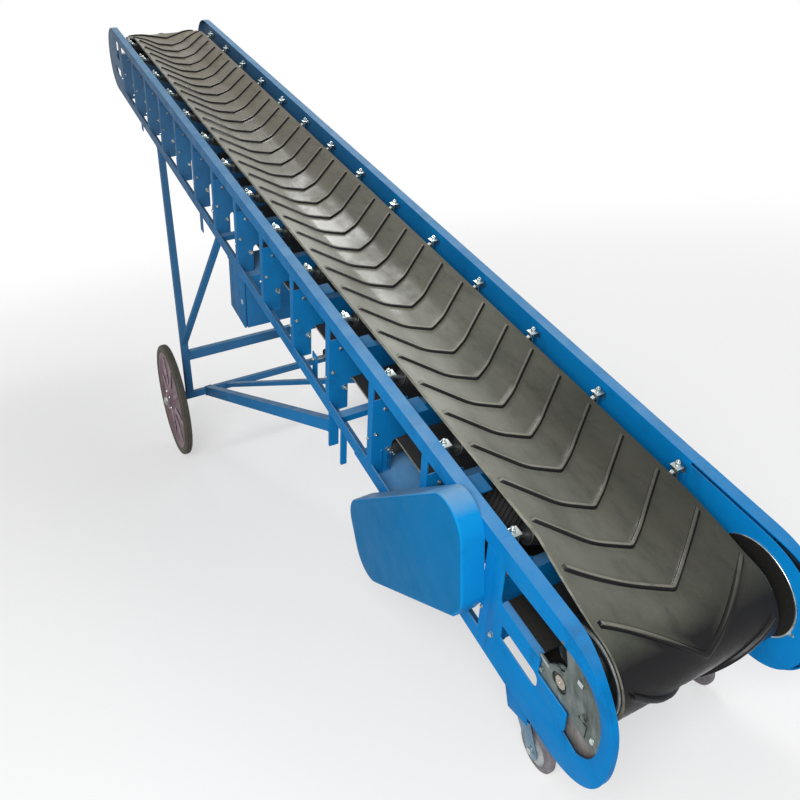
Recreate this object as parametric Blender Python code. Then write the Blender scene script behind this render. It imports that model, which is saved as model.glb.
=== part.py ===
"""Mobile inclined belt conveyor with a chevron belt, on two road wheels and two tail casters.

The deck is modelled flat, in its own frame, and then tilted as one:
    u runs along the deck from the tail (low end) to the head, v to the left, w square to the belt.
    The lowest idler stands at u = 0, and w = 0 is the height of the belt's edges.
The undercarriage is modelled upright: x towards the head, y to the left, z up from the floor.
All sizes are metres.
"""

import math

import bmesh
import bpy
from mathutils import Matrix, Vector

# Sides and steps of the round shapes
DRUM_SIDES = 32
DRIVE_SIDES = 24
SHAFT_SIDES = 16
IDLER_SIDES = 8
RETURN_SIDES = 12
PIN_SIDES = 6
MOTOR_SIDES = 20
CURVE_STEPS = 10

# Fits
GAP = 0.0003                # between pieces that touch
PIN_GAP = 0.0005            # round a pin or axle, and under a swivel
DRUM_GAP = 0.001            # between a drum and the belt's facets round it
WELD = 0.001                # how far welded shapes run into each other

# Deck
SLOPE = math.radians(20.4)
IDLER_PITCH = 0.400
IDLER_COUNT = 14
FRAME_HALF = 0.388          # middle of the deck to the outer face of a side
FRAME_TOP = 0.021           # top of the side frames above the belt's edges
FRAME_DEPTH = 0.486
SHEET = 0.005               # side frame steel
RIM = 0.060                 # height of the rails' faces and width of the rims of the end plates
FLANGE = 0.045              # rails' inward flanges
LIP_BOTTOM = -0.100         # the top rail's inner lip ends here
END_JOINT = 0.025           # end plates begin this far beyond the last posts
TAIL_CENTRE_U = -0.360      # centre of the round tail end
HEAD_REACH = 0.270          # centre of the round head end beyond the last idler

# Feed tabs on the drive side
FEED_TABS = 4
TAB_HALF = 0.0375
TAB_REACH = 0.102           # from the outer face inward
TAB_W = (-0.006, -0.002)

# Posts
POST_STRIP = 0.040
POST_PLATE = 0.004
POST_WIDE = 0.143           # the upper part of the post plate, from the outer face inward
POST_NARROW = 0.084         # and its lower part
POST_STEP_W = -0.310        # height of the step between them
POST_ROUND = 0.022
POST_CHAMFER = (0.055, 0.025)
POST_BACK = 0.0197          # tail side of the post plate behind the idler's axis

# Idlers
ROLLER_R = 0.030
SHAFT_R = 0.008
TROUGH = math.radians(23.0)
FLAT_HALF = 0.100           # half of the belt's flat middle
BELT_BED = -0.080           # underside of the carrying belt in the middle
IDLER_BAR_TOP = -0.190
IDLER_BAR_DEPTH = 0.120
IDLER_BAR_SHEET = 0.004
IDLER_BAR_FLANGE = 0.040
STAND = 0.005
STAND_WIDTH = 0.030
WING_START = 0.014          # wing roller from the fold of the belt
WING_LENGTH = 0.158
WING_SHAFT = 0.042          # shaft beyond the wing roller
CENTRE_ROLLER_HALF = 0.094
WING_SHAFT_R = 0.012
STAND_TOP = 0.014           # outer stand above the end of the wing shaft

# Belt
BELT_HALF = 0.280
BELT_THICK = 0.010
LUG_HEIGHT = 0.012
LUG_WIDTH = 0.024
LUG_TOP_INSET = 0.004
LUG_SPACING = 0.1717
LUG_SWEEP = math.tan(math.radians(33.5))
LUG_MARGIN = 0.018
ROWS_ON_BEND = 3            # rows between two lugs where the belt bends
INNER_STEP_STRAIGHT = 0.8
INNER_STEP_BEND = 0.020
INNER_ROWS_TRANSITION = 3

# Drums
DRUM_R = 0.128
DRUM_HALF = 0.290
DRUM_W = -0.190
DRUM_SHAFT_R = 0.020
TAIL_DRUM_U = -0.345
HEAD_DRUM_BACK = 0.020      # head drum behind the centre of the round head end
DRIVE_U = 0.205
DRIVE_R = 0.110
TRANSITION_END = 0.050      # the belt is fully troughed this far before the end idlers

# Return rollers
RETURN_U = (0.80, 1.43, 2.95, 4.45)
RETURN_HALF = 0.300
HANGER_IN = 0.043           # from the outer face inward
HANGER_WIDTH = 0.050
HANGER_TOP = -0.345

# Cross ties, brackets and ears under the bottom rails
TIE_WIDTH = 0.040
TIE_DEPTH = 0.030
BRACKET_U = (1.174, 1.186)
BRACKET_WIDTH = 0.042
BRACKET_BOTTOM = -0.645
STUB_U = (1.054, 1.066)
STUB_WIDTH = 0.026
STUB_BOTTOM = -0.646
EARS = ((3.12, 0.050, 0.120), (4.67, 0.045, 0.060))     # place, width, depth below the rail

# End plate windows, u counted from the centre of the round end towards the deck
WINDOW_TOP = -0.039
MID_BAR_TOP = -0.190
MID_BAR_BOTTOM = -0.262
MID_BAR_SHELF = 0.020
SLOT_BOTTOM = -0.321
SLOT_START = 0.090
SLOT_END = 0.270
SLOT_ROUND = 0.022
WINDOW_END = 0.290          # where the upper window stops, near the first post
STEP_AT = 0.095             # where the window's floor steps down
LOW_AT = -0.035             # where it steps down again
STEP_FLOOR = -0.252
LOW_FLOOR = -0.333
LOW_SLANT = (0.070, 0.022)
TAIL_LIP = (0.320, -0.112)  # length and bottom of the lip inside the tail end plate
HEAD_LIP = (0.120, -0.100)
CORNER_ROUND = 0.004
ARC_STEPS = 14

# Take-up
TAKE_UP_THICK = 0.008
TAKE_UP_BODY = 0.060        # its upper edge starts here, from the centre of the round end
TAKE_UP_LOBE = 0.115        # and its lower lobe here
TAKE_UP_LOBE_TOP = (-0.182, -0.168)
TAKE_UP_BOTTOM = -0.268
TAKE_UP_R = 0.224           # its round end, inside the rim of the end plate
TAKE_UP_HOLE_R = 0.031
BEARING_R = 0.042
BEARING_LENGTH = 0.022
LINER_U = (0.015, -0.165)   # liner plate under the take-up, from the centre of the round end
LINER_W = (-0.360, -0.280)
SCREW_W = -0.235
SCREW_R = 0.007
SCREW_NUT_R = 0.013

# Drive
MOTOR_U = 0.660
MOTOR_R = 0.105
MOTOR_FAN_R = 0.112
MOTOR_DROP = 0.120          # motor axis below its plate
MOTOR_PLATE = 0.010
MOTOR_PLATE_U = (0.440, 0.930)
MOTOR_V = (-0.160, 0.150)
GEARBOX_IN = 0.088          # its face, from the outer face of the side frame inward
GEARBOX_HALF = 0.100
MOTOR_FAN = (0.060, 0.020)  # the fan cover's reach beyond and over the motor
MOTOR_FOOT = 0.6            # top of the motor's foot, as a share of its radius
GUARD_DEPTH = 0.082
GUARD_ROUND = 0.012
GUARD_CORNERS = (           # u, w, corner radius
    (0.045, -0.345, 0.008),
    (0.658, -0.848, 0.110),
    (0.812, -0.582, 0.100),
    (0.067, 0.162, 0.100),
    (0.004, -0.260, 0.080),
)
BEARING_PLATE_IN = 0.033    # from the outer face inward
BEARING_PLATE = 0.008
BEARING_PLATE_HALF = 0.085

# Control cabinet, tailward of the struts
CABINET_BACK = (0.210, 0.460)
CABINET_INSET = 0.004
CABINET_WIDTH = 0.264
CABINET_DEPTH = 0.320

# Undercarriage
FLOOR_UNDER_DECK = 0.776    # height of the deck's u = w = 0 line above the floor
TUBE_SPARE = 0.100          # raw length of a tube beyond each end, trimmed off
AXLE_X = 3.150
WHEEL_R = 0.335
WHEEL_Y = 0.708
TYRE_WIDTH = 0.046
TYRE_DEPTH = 0.042
TYRE_SHOULDER = 0.012
WHEEL_SIDES = 28
AXLE_TUBE = 0.038
AXLE_END = 0.012            # stub axle beyond the hub
AXLE_R = 0.016
AXLE_NUT_R = 0.030
COLLAR = 0.028              # between the axle tube and the hub
LEG_TUBE = 0.042
LEG_FOOT_IN = 0.030         # from the end of the axle tube inward
LEG_TOP_U = 4.170
STRUT_TUBE = 0.036
STRUT_FOOT_Z = 0.610
STRUT_TOP_U = 2.790
UPPER_BEAM_Z = 0.545
UPPER_BEAM_TUBE = 0.056
BRACE_TUBE = 0.055
BRACE_WIDTH = 0.041
BRACE_FOOT_Y = 0.500
BRACE_HEAD_W = -0.540
DIAGONAL_TUBE = 0.040
DIAGONAL_DEPTH = 0.024
DIAGONAL_FOOT_Y = 0.380
DIAGONAL_TOP_Y = -0.250
HUB_R = 0.045
HUB_HALF = 0.040
RIM_DEPTH = 0.026
DISC_WALL = 0.006
DISC_FLARE = 0.070          # radial length of the dish round the hub

# Casters
CASTER_X = 0.018
CASTER_IN = 0.068           # from the outer face of the side frame inward
CASTER_TRAIL = 0.030
CASTER_WHEEL_R = 0.075
CASTER_WHEEL_HALF = 0.018
CASTER_SIDES = 20
CASTER_FORK_GAP = 0.006
CASTER_CHEEK = 0.004
CASTER_TOP_Z = 0.200
CASTER_CROWN = 0.008
CASTER_CLEAR = 0.020        # crown above the wheel
CASTER_RACE_R = 0.034
CASTER_CROWN_X = (-0.040, 0.036)
CASTER_TIP = (0.016, 0.010, 0.014)      # half widths and drop of the fork's foot
CASTER_AXLE_R = 0.008
CASTER_PLATE_HALF = 0.050
CASTER_GUSSET = 0.012       # height of the gusset at the plate's inner edge
CASTER_BOSS_R = 0.020
CASTER_DISC_R = 0.048

# Worked out from the sizes above
RAIL_BOTTOM = FRAME_TOP - FRAME_DEPTH
END_R = FRAME_DEPTH / 2
END_W = FRAME_TOP - END_R
LAST_IDLER_U = IDLER_PITCH * (IDLER_COUNT - 1)
HEAD_CENTRE_U = LAST_IDLER_U + HEAD_REACH
HEAD_DRUM_U = HEAD_CENTRE_U - HEAD_DRUM_BACK
FRAME_INNER = FRAME_HALF - SHEET
FLANGE_INNER = FRAME_HALF - FLANGE
TIE_U = ((BRACKET_U[0] + STUB_U[0]) / 2, STRUT_TOP_U - STRUT_TUBE, LEG_TOP_U)
POST_INNER = FRAME_HALF - POST_NARROW
HANGER_V = FRAME_HALF - HANGER_IN
BEARING_PLATE_V = FRAME_HALF - BEARING_PLATE_IN
AXLE_HALF = WHEEL_Y - HUB_HALF - COLLAR
LEG_FOOT_Y = AXLE_HALF - LEG_FOOT_IN
CASTER_Y = FRAME_HALF - CASTER_IN
RAIL_START = -END_JOINT + GAP
RAIL_END = LAST_IDLER_U + END_JOINT - GAP
RETURN_W = DRUM_W - DRUM_R
LUG_FACE = RETURN_W - BELT_THICK - LUG_HEIGHT
RETURN_AXIS_W = LUG_FACE - GAP - ROLLER_R
DRIVE_W = RETURN_W + GAP + DRIVE_R


def rotated(u, w):
    """World x and z of a deck point, before the whole is centred."""
    x = u * math.cos(SLOPE) - w * math.sin(SLOPE)
    z = u * math.sin(SLOPE) + w * math.cos(SLOPE) + FLOOR_UNDER_DECK
    return x, z


TAIL_X = rotated(TAIL_CENTRE_U, END_W)[0] - END_R
HEAD_X = rotated(HEAD_CENTRE_U, END_W)[0] + END_R
CENTRE_X = (TAIL_X + HEAD_X) / 2
DECK = Matrix.Translation((-CENTRE_X, 0, FLOOR_UNDER_DECK)) @ Matrix.Rotation(-SLOPE, 4, "Y")
UPRIGHT = Matrix.Translation((-CENTRE_X, 0, 0))


def deck_point(u, v, w):
    """A deck point in the upright frame of the undercarriage."""
    x, z = rotated(u, w)
    return Vector((x, v, z))


DECK_UP = Vector((-math.sin(SLOPE), 0, math.cos(SLOPE)))
DECK_ALONG = Vector((math.cos(SLOPE), 0, math.sin(SLOPE)))


# Materials

def paint(name, colour, roughness, metallic=0.0):
    material = bpy.data.materials.new(name)
    material.use_nodes = True
    shader = material.node_tree.nodes["Principled BSDF"]
    shader.inputs["Base Color"].default_value = (*colour, 1.0)
    shader.inputs["Roughness"].default_value = roughness
    shader.inputs["Metallic"].default_value = metallic
    material.diffuse_color = (*colour, 1.0)
    return material


def make_materials():
    return {
        "blue": paint("blue_paint", (0.02, 0.18, 0.45), 0.35),
        "belt": paint("belt_rubber", (0.05, 0.05, 0.04), 0.40),
        "roller": paint("roller_steel", (0.05, 0.05, 0.05), 0.45, 0.6),
        "zinc": paint("zinc_plate", (0.55, 0.60, 0.58), 0.35, 1.0),
        "motor": paint("motor_grey", (0.30, 0.32, 0.32), 0.50),
        "tyre": paint("tyre_rubber", (0.03, 0.025, 0.02), 0.80),
        "wheel": paint("wheel_paint", (0.16, 0.09, 0.11), 0.50),
        "caster": paint("caster_rubber", (0.25, 0.23, 0.25), 0.60),
    }


# Shape tools

def join_closed(mesh, points_a, points_b):
    """A closed skin between two like outlines, the first seen from behind."""
    a = [mesh.verts.new(p) for p in points_a]
    b = [mesh.verts.new(p) for p in points_b]
    mesh.faces.new(list(reversed(a)))
    mesh.faces.new(b)
    for i in range(len(a)):
        j = (i + 1) % len(a)
        mesh.faces.new((a[i], a[j], b[j], b[i]))
    return mesh


def facing_out(mesh):
    bmesh.ops.recalc_face_normals(mesh, faces=mesh.faces)
    return mesh


def side_plate(outline, v0, v1):
    """An outline in u and w, given thickness from v0 to v1."""
    low = [(u, min(v0, v1), w) for u, w in outline]
    high = [(u, max(v0, v1), w) for u, w in outline]
    return facing_out(join_closed(bmesh.new(), low, high))


def cross_plate(outline, u0, u1):
    """An outline in v and w, given thickness from u0 to u1."""
    ends = [[(u, v, w) for v, w in outline] for u in (u0, u1)]
    return facing_out(join_closed(bmesh.new(), *ends))


def block(u, v, w):
    """A box from its three ranges."""
    corners = [(u[0], w[0]), (u[1], w[0]), (u[1], w[1]), (u[0], w[1])]
    return side_plate(corners, *v)


def arc(centre, radius, start, end, steps):
    """Points on a circle, angles in degrees."""
    points = []
    for i in range(steps + 1):
        angle = math.radians(start + (end - start) * i / steps)
        points.append((centre[0] + radius * math.cos(angle), centre[1] + radius * math.sin(angle)))
    return points


def rounded(corners, steps=5):
    """An outline from corners that each carry a radius."""
    outline = []
    count = len(corners)
    for i, (x, y, radius) in enumerate(corners):
        here = Vector((x, y))
        before = (Vector(corners[i - 1][:2]) - here).normalized()
        after = (Vector(corners[(i + 1) % count][:2]) - here).normalized()
        half = before.angle(after) / 2
        centre = here + (before + after).normalized() * radius / math.sin(half)
        start = here + before * radius / math.tan(half) - centre
        turn = start.angle_signed(here + after * radius / math.tan(half) - centre)
        for k in range(steps + 1):
            angle = -turn * k / steps
            point = centre + Matrix.Rotation(angle, 2) @ start
            outline.append((point.x, point.y))
    return outline


def bar_between(start, end, radius, sides):
    """A round bar between two points."""
    start, end = Vector(start), Vector(end)
    turn = (end - start).to_track_quat("Z", "X").to_matrix()
    ring = [turn @ Vector((*p, 0)) for p in arc((0, 0), radius, 0, 360 - 360 / sides, sides - 1)]
    return facing_out(join_closed(bmesh.new(), [start + p for p in ring], [end + p for p in ring]))


def cross_bar(u, w, v0, v1, radius, sides):
    return bar_between((u, v0, w), (u, v1, w), radius, sides)


def square_tube(start, end, width, depth, up):
    """A square bar between two points, its depth measured towards up."""
    start, end = Vector(start), Vector(end)
    along = (end - start).normalized()
    across = along.cross(up).normalized() * width / 2
    rise = across.cross(along).normalized() * depth / 2
    ring = (across + rise, rise - across, -across - rise, across - rise)
    return facing_out(join_closed(bmesh.new(), [start + p for p in ring], [end + p for p in ring]))


def trim(mesh, point, away):
    """Cuts off what lies beyond a plane, and closes the cut."""
    geometry = list(mesh.verts) + list(mesh.edges) + list(mesh.faces)
    cut = bmesh.ops.bisect_plane(mesh, geom=geometry, plane_co=point, plane_no=away, clear_outer=True)
    edges = [e for e in cut["geom_cut"] if isinstance(e, bmesh.types.BMEdge)]
    bmesh.ops.contextual_create(mesh, geom=edges)
    return facing_out(mesh)


def turned(profile, steps, centre, axis="Y"):
    """A ring turned about an axis through centre. The profile is radius and place along the axis."""
    mesh = bmesh.new()
    rings = []
    for i in range(steps):
        angle = 2 * math.pi * i / steps
        ring = []
        for radius, along in profile:
            across = (radius * math.cos(angle), radius * math.sin(angle))
            place = (across[0], along, across[1]) if axis == "Y" else (*across, along)
            ring.append(mesh.verts.new(Vector(centre) + Vector(place)))
        rings.append(ring)
    for i in range(steps):
        here, beyond = rings[i], rings[(i + 1) % steps]
        for j in range(len(profile)):
            k = (j + 1) % len(profile)
            mesh.faces.new((here[j], here[k], beyond[k], beyond[j]))
    return facing_out(mesh)


def mirrored(mesh):
    """The same shape on the right-hand side."""
    other = mesh.copy()
    bmesh.ops.scale(other, vec=(1, -1, 1), verts=other.verts)
    bmesh.ops.reverse_faces(other, faces=other.faces)
    return other


def as_object(name, mesh, material):
    data = bpy.data.meshes.new(name)
    mesh.to_mesh(data)
    mesh.free()
    data.materials.append(material)
    thing = bpy.data.objects.new(name, data)
    bpy.context.scene.collection.objects.link(thing)
    return thing


def place(thing, matrix, axis_at=None):
    """Puts an object at its place. A moving piece gets its origin on its axis."""
    if axis_at is not None:
        thing.data.transform(Matrix.Translation(-Vector(axis_at)))
        matrix = matrix @ Matrix.Translation(axis_at)
    thing.matrix_world = matrix
    return thing


def boolean_of(thing, others, operation):
    """The object's mesh joined with, or cut by, other meshes."""
    if not others:
        return
    group = bpy.data.collections.new(thing.name + "_" + operation.lower())
    bpy.context.scene.collection.children.link(group)
    for number, mesh in enumerate(others):
        helper = as_object(f"{thing.name}_{operation.lower()}_{number}", mesh, thing.data.materials[0])
        bpy.context.scene.collection.objects.unlink(helper)
        group.objects.link(helper)
    modifier = thing.modifiers.new(operation.lower(), "BOOLEAN")
    modifier.operation = operation
    modifier.operand_type = "COLLECTION"
    modifier.collection = group
    graph = bpy.context.evaluated_depsgraph_get()
    result = bpy.data.meshes.new_from_object(thing.evaluated_get(graph))
    thing.modifiers.remove(modifier)
    old = thing.data
    thing.data = result
    bpy.data.meshes.remove(old)
    for helper in list(group.objects):
        data = helper.data
        bpy.data.objects.remove(helper)
        bpy.data.meshes.remove(data)
    bpy.data.collections.remove(group)


def solid(name, material, shapes, cuts=(), matrix=DECK, axis_at=None):
    """One piece from shapes welded together and then cut."""
    thing = as_object(name, shapes[0], material)
    boolean_of(thing, list(shapes[1:]), "UNION")
    boolean_of(thing, list(cuts), "DIFFERENCE")
    thing.data.shade_smooth()
    thing.data.set_sharp_from_angle(angle=math.radians(30))
    thing.data.name = name
    return place(thing, matrix, axis_at)


def both_sides(name, material, build, matrix=DECK, extra_left=None):
    """The left piece and its mirror image. build gives fresh shapes and cuts."""
    for side in ("left", "right"):
        shapes, cuts = build()
        if side == "left" and extra_left:
            shapes = shapes + extra_left()
        if side == "right":
            shapes = [mirrored(mesh) for mesh in shapes]
            cuts = [mirrored(mesh) for mesh in cuts]
        solid(f"{name}_{side}", material, shapes, cuts, matrix)


# Side frames

def top_rail():
    """A bent channel: outer face, top flange and inner lip."""
    outline = [
        (FRAME_HALF, FRAME_TOP - RIM),
        (FRAME_HALF, FRAME_TOP),
        (FLANGE_INNER, FRAME_TOP),
        (FLANGE_INNER, LIP_BOTTOM),
        (FLANGE_INNER + SHEET, LIP_BOTTOM),
        (FLANGE_INNER + SHEET, FRAME_TOP - SHEET),
        (FRAME_INNER, FRAME_TOP - SHEET),
        (FRAME_INNER, FRAME_TOP - RIM),
    ]
    return [cross_plate(outline, RAIL_START, RAIL_END)], []


def feed_tabs():
    """Lugs between the lowest idlers, on the drive side only, where a feed hopper stands."""
    tabs = []
    for i in range(FEED_TABS):
        middle = (i + 0.5) * IDLER_PITCH
        reach = (FRAME_HALF - TAB_REACH, FLANGE_INNER + WELD)
        tabs.append(block((middle - TAB_HALF, middle + TAB_HALF), reach, TAB_W))
    return tabs


def post(u):
    """A post at an idler: a narrow outer strip, and a plate that faces the tail and is wider above."""
    back = u - POST_BACK
    strip = block(
        (back, back + POST_STRIP),
        (FRAME_INNER, FRAME_HALF),
        (RAIL_BOTTOM + RIM - WELD, FRAME_TOP - RIM - GAP),
    )
    outer, inner = FRAME_HALF - WELD, FRAME_HALF - POST_WIDE
    top = LIP_BOTTOM - GAP
    foot = RAIL_BOTTOM + SHEET - WELD
    step = arc((POST_INNER - POST_ROUND, POST_STEP_W - POST_ROUND), POST_ROUND, 90, 0, 3)
    outline = [(outer, foot), (outer, top), (inner + POST_CHAMFER[0], top), (inner, top - POST_CHAMFER[1])]
    outline += [(inner, POST_STEP_W)] + step + [(POST_INNER, foot)]
    return [strip, cross_plate(outline, back, back + POST_PLATE)]


def hanger(u):
    """A plate that carries the end of a return roller."""
    half = HANGER_WIDTH / 2
    levels = (RAIL_BOTTOM + SHEET - WELD, HANGER_TOP)
    return block((u - half, u + half), (HANGER_V, HANGER_V + SHEET), levels)


def drive_bearing():
    """The plate and housing that carry the drive shaft."""
    reach = (DRIVE_U - BEARING_PLATE_HALF, DRIVE_U + BEARING_PLATE_HALF)
    top = DRIVE_W + BEARING_PLATE_HALF
    plate = block(
        reach,
        (BEARING_PLATE_V, BEARING_PLATE_V + BEARING_PLATE),
        (RAIL_BOTTOM + SHEET - WELD, top),
    )
    housing = cross_bar(DRIVE_U, DRIVE_W, BEARING_PLATE_V + WELD, FRAME_HALF, BEARING_R, SHAFT_SIDES)
    return [plate, housing]


def under_rail():
    """Brace bracket, parking stub and ears below the bottom rail."""
    top = RAIL_BOTTOM + WELD
    shapes = [
        block(BRACKET_U, (FRAME_HALF - BRACKET_WIDTH, FRAME_HALF), (BRACKET_BOTTOM, top)),
        block(STUB_U, (FRAME_HALF - STUB_WIDTH, FRAME_HALF - WELD), (STUB_BOTTOM, top)),
    ]
    for u, width, depth in EARS:
        ends = (u - width / 2, u + width / 2)
        levels = (RAIL_BOTTOM - depth, RAIL_BOTTOM + WELD)
        shapes.append(block(ends, (FRAME_INNER - SHEET, FRAME_INNER), levels))
    return shapes


def bottom_rail():
    """An angle with its flange inward, and all that is welded on it."""
    outline = [
        (FRAME_HALF, RAIL_BOTTOM),
        (FRAME_HALF, RAIL_BOTTOM + RIM),
        (FRAME_INNER, RAIL_BOTTOM + RIM),
        (FRAME_INNER, RAIL_BOTTOM + SHEET),
        (FLANGE_INNER, RAIL_BOTTOM + SHEET),
        (FLANGE_INNER, RAIL_BOTTOM),
    ]
    shapes = [cross_plate(outline, RAIL_START, RAIL_END)]
    for i in range(IDLER_COUNT):
        shapes += post(i * IDLER_PITCH)
    for u in RETURN_U:
        shapes.append(hanger(u))
    return shapes + drive_bearing() + under_rail(), []


def end_plate_shapes(centre_u, joint_u, toward):
    """A round end plate with its rim. toward is -1 at the tail and 1 at the head."""
    top, bottom = (90, 270) if toward < 0 else (90, -90)
    outer = arc((centre_u, END_W), END_R, top, bottom, ARC_STEPS)
    inner = arc((centre_u, END_W), END_R - SHEET, bottom, top, ARC_STEPS)
    face = [(joint_u, FRAME_TOP)] + outer + [(joint_u, RAIL_BOTTOM)]
    inner_start, inner_end = (joint_u, RAIL_BOTTOM + SHEET), (joint_u, FRAME_TOP - SHEET)
    rim = face + [inner_start] + inner + [inner_end]
    return [
        side_plate(face, FRAME_INNER, FRAME_HALF),
        side_plate(rim, FLANGE_INNER, FRAME_HALF - WELD),
    ]


def round_side(centre_u, radius, w_from, w_to, toward, steps):
    """The round end's curve between two heights."""
    start = math.degrees(math.asin((w_from - END_W) / radius))
    stop = math.degrees(math.asin((w_to - END_W) / radius))
    turn = (180 - start, 180 - stop) if toward < 0 else (start, stop)
    return arc((centre_u, END_W), radius, *turn, steps)


def end_window(centre_u, toward):
    """The large window, which follows the round end and steps down towards it."""
    curve = round_side(centre_u, END_R - RIM, WINDOW_TOP, SLOT_BOTTOM, toward, CURVE_STEPS)
    floor = [
        (LOW_AT - LOW_SLANT[0], LOW_FLOOR),
        (LOW_AT, LOW_FLOOR + LOW_SLANT[1]),
        (LOW_AT, STEP_FLOOR),
        (STEP_AT, STEP_FLOOR),
        (STEP_AT, MID_BAR_TOP),
        (WINDOW_END, MID_BAR_TOP),
    ]
    return [(centre_u - toward * WINDOW_END, WINDOW_TOP)] + curve + [
        (centre_u - toward * back, w) for back, w in floor
    ]


def slot(u_round, u_square, w_low, w_high):
    """A slot with one round and one square end."""
    return rounded([
        (u_round, w_low, SLOT_ROUND),
        (u_square, w_low, CORNER_ROUND),
        (u_square, w_high, CORNER_ROUND),
        (u_round, w_high, SLOT_ROUND),
    ], 3)


def through(outline):
    return side_plate(outline, FRAME_INNER - SHEET, FRAME_HALF + SHEET)


def end_lip(joint_u, length, bottom, toward):
    """The top rail's inner lip runs on into the end plate."""
    reach = sorted((joint_u, joint_u + toward * length))
    return block(reach, (FLANGE_INNER, FLANGE_INNER + SHEET), (bottom, FRAME_TOP - WELD))


def tail_plate():
    shapes = end_plate_shapes(TAIL_CENTRE_U, -END_JOINT, -1)
    shelf = block(
        (TAIL_CENTRE_U + TAKE_UP_LOBE + SHEET, TAIL_CENTRE_U + WINDOW_END),
        (FRAME_INNER - MID_BAR_SHELF, FRAME_HALF - WELD),
        (MID_BAR_TOP - SHEET, MID_BAR_TOP),
    )
    cuts = [
        through(end_window(TAIL_CENTRE_U, -1)),
        through(slot(TAIL_CENTRE_U + SLOT_START, TAIL_CENTRE_U + SLOT_END, SLOT_BOTTOM, MID_BAR_BOTTOM)),
    ]
    return shapes + [end_lip(-END_JOINT, *TAIL_LIP, -1), shelf], cuts


def head_plate():
    joint = LAST_IDLER_U + END_JOINT
    shapes = end_plate_shapes(HEAD_CENTRE_U, joint, 1)
    bearing_start = FRAME_INNER - BEARING_LENGTH
    housing = cross_bar(HEAD_DRUM_U, DRUM_W, bearing_start, FRAME_INNER + WELD, BEARING_R, SHAFT_SIDES)
    cuts = [
        through(slot(HEAD_DRUM_U - 2 * BEARING_R, joint + RIM, MID_BAR_TOP, WINDOW_TOP)),
        through(slot(HEAD_CENTRE_U, joint + RIM, SLOT_BOTTOM, MID_BAR_BOTTOM)),
    ]
    return shapes + [end_lip(joint, *HEAD_LIP, 1), housing], cuts


# Idlers

def idler_shapes():
    """A three-roller troughing idler on its cross bar, at u = 0."""
    bar_end = FRAME_INNER - GAP
    back = -POST_BACK + POST_PLATE + GAP
    front = back + IDLER_BAR_SHEET
    shapes = [
        block((back, front), (-bar_end, bar_end), (IDLER_BAR_TOP - IDLER_BAR_DEPTH, IDLER_BAR_TOP)),
        block(
            (back, back + IDLER_BAR_FLANGE),
            (-POST_INNER, POST_INNER),
            (IDLER_BAR_TOP - IDLER_BAR_SHEET, IDLER_BAR_TOP),
        ),
    ]
    drop = ROLLER_R + GAP
    axis_w = BELT_BED - drop
    shapes.append(cross_bar(0, axis_w, -CENTRE_ROLLER_HALF, CENTRE_ROLLER_HALF, ROLLER_R, IDLER_SIDES))
    half = STAND_WIDTH / 2
    stand_v = CENTRE_ROLLER_HALF - WELD
    wing = []
    along = Vector((0, math.cos(TROUGH), math.sin(TROUGH)))
    normal = Vector((0, -math.sin(TROUGH), math.cos(TROUGH)))
    fold = Vector((0, FLAT_HALF, BELT_BED)) - normal * drop
    start = fold + along * WING_START
    end = start + along * WING_LENGTH
    wing.append(bar_between(start, end, ROLLER_R, IDLER_SIDES))
    tip = end + along * WING_SHAFT
    wing.append(bar_between(end - along * WELD, tip, WING_SHAFT_R, PIN_SIDES))
    inner_top = axis_w + SHAFT_R
    inner_end = start.y + SHAFT_R
    wing.append(block((-half, half), (stand_v, inner_end), (IDLER_BAR_TOP - WELD, inner_top)))
    outer = (tip.y - STAND, tip.y + STAND)
    wing.append(block((-half, half), outer, (IDLER_BAR_TOP - WELD, tip.z + STAND_TOP)))
    return shapes + wing + [mirrored(mesh) for mesh in wing]


def make_idlers(material):
    """The idlers share one mesh, a pitch apart."""
    first = solid("trough_idler_01", material, idler_shapes())
    for i in range(1, IDLER_COUNT):
        copy = bpy.data.objects.new(f"trough_idler_{i + 1:02d}", first.data)
        bpy.context.scene.collection.objects.link(copy)
        copy.matrix_world = DECK @ Matrix.Translation((i * IDLER_PITCH, 0, 0))


def return_roller():
    """A plain roller under the returning belt, at u = 0."""
    end = HANGER_V - GAP
    return [
        cross_bar(0, RETURN_AXIS_W, -RETURN_HALF, RETURN_HALF, ROLLER_R, RETURN_SIDES),
        cross_bar(0, RETURN_AXIS_W, -end, end, SHAFT_R, PIN_SIDES),
    ]


def drum(u, w, radius, half, shaft_end, sides):
    """A drum with stepped shaft ends."""
    return [
        cross_bar(u, w, -half, half, radius, sides),
        cross_bar(u, w, -shaft_end, shaft_end, DRUM_SHAFT_R, SHAFT_SIDES),
    ]


# Take-up

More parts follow.
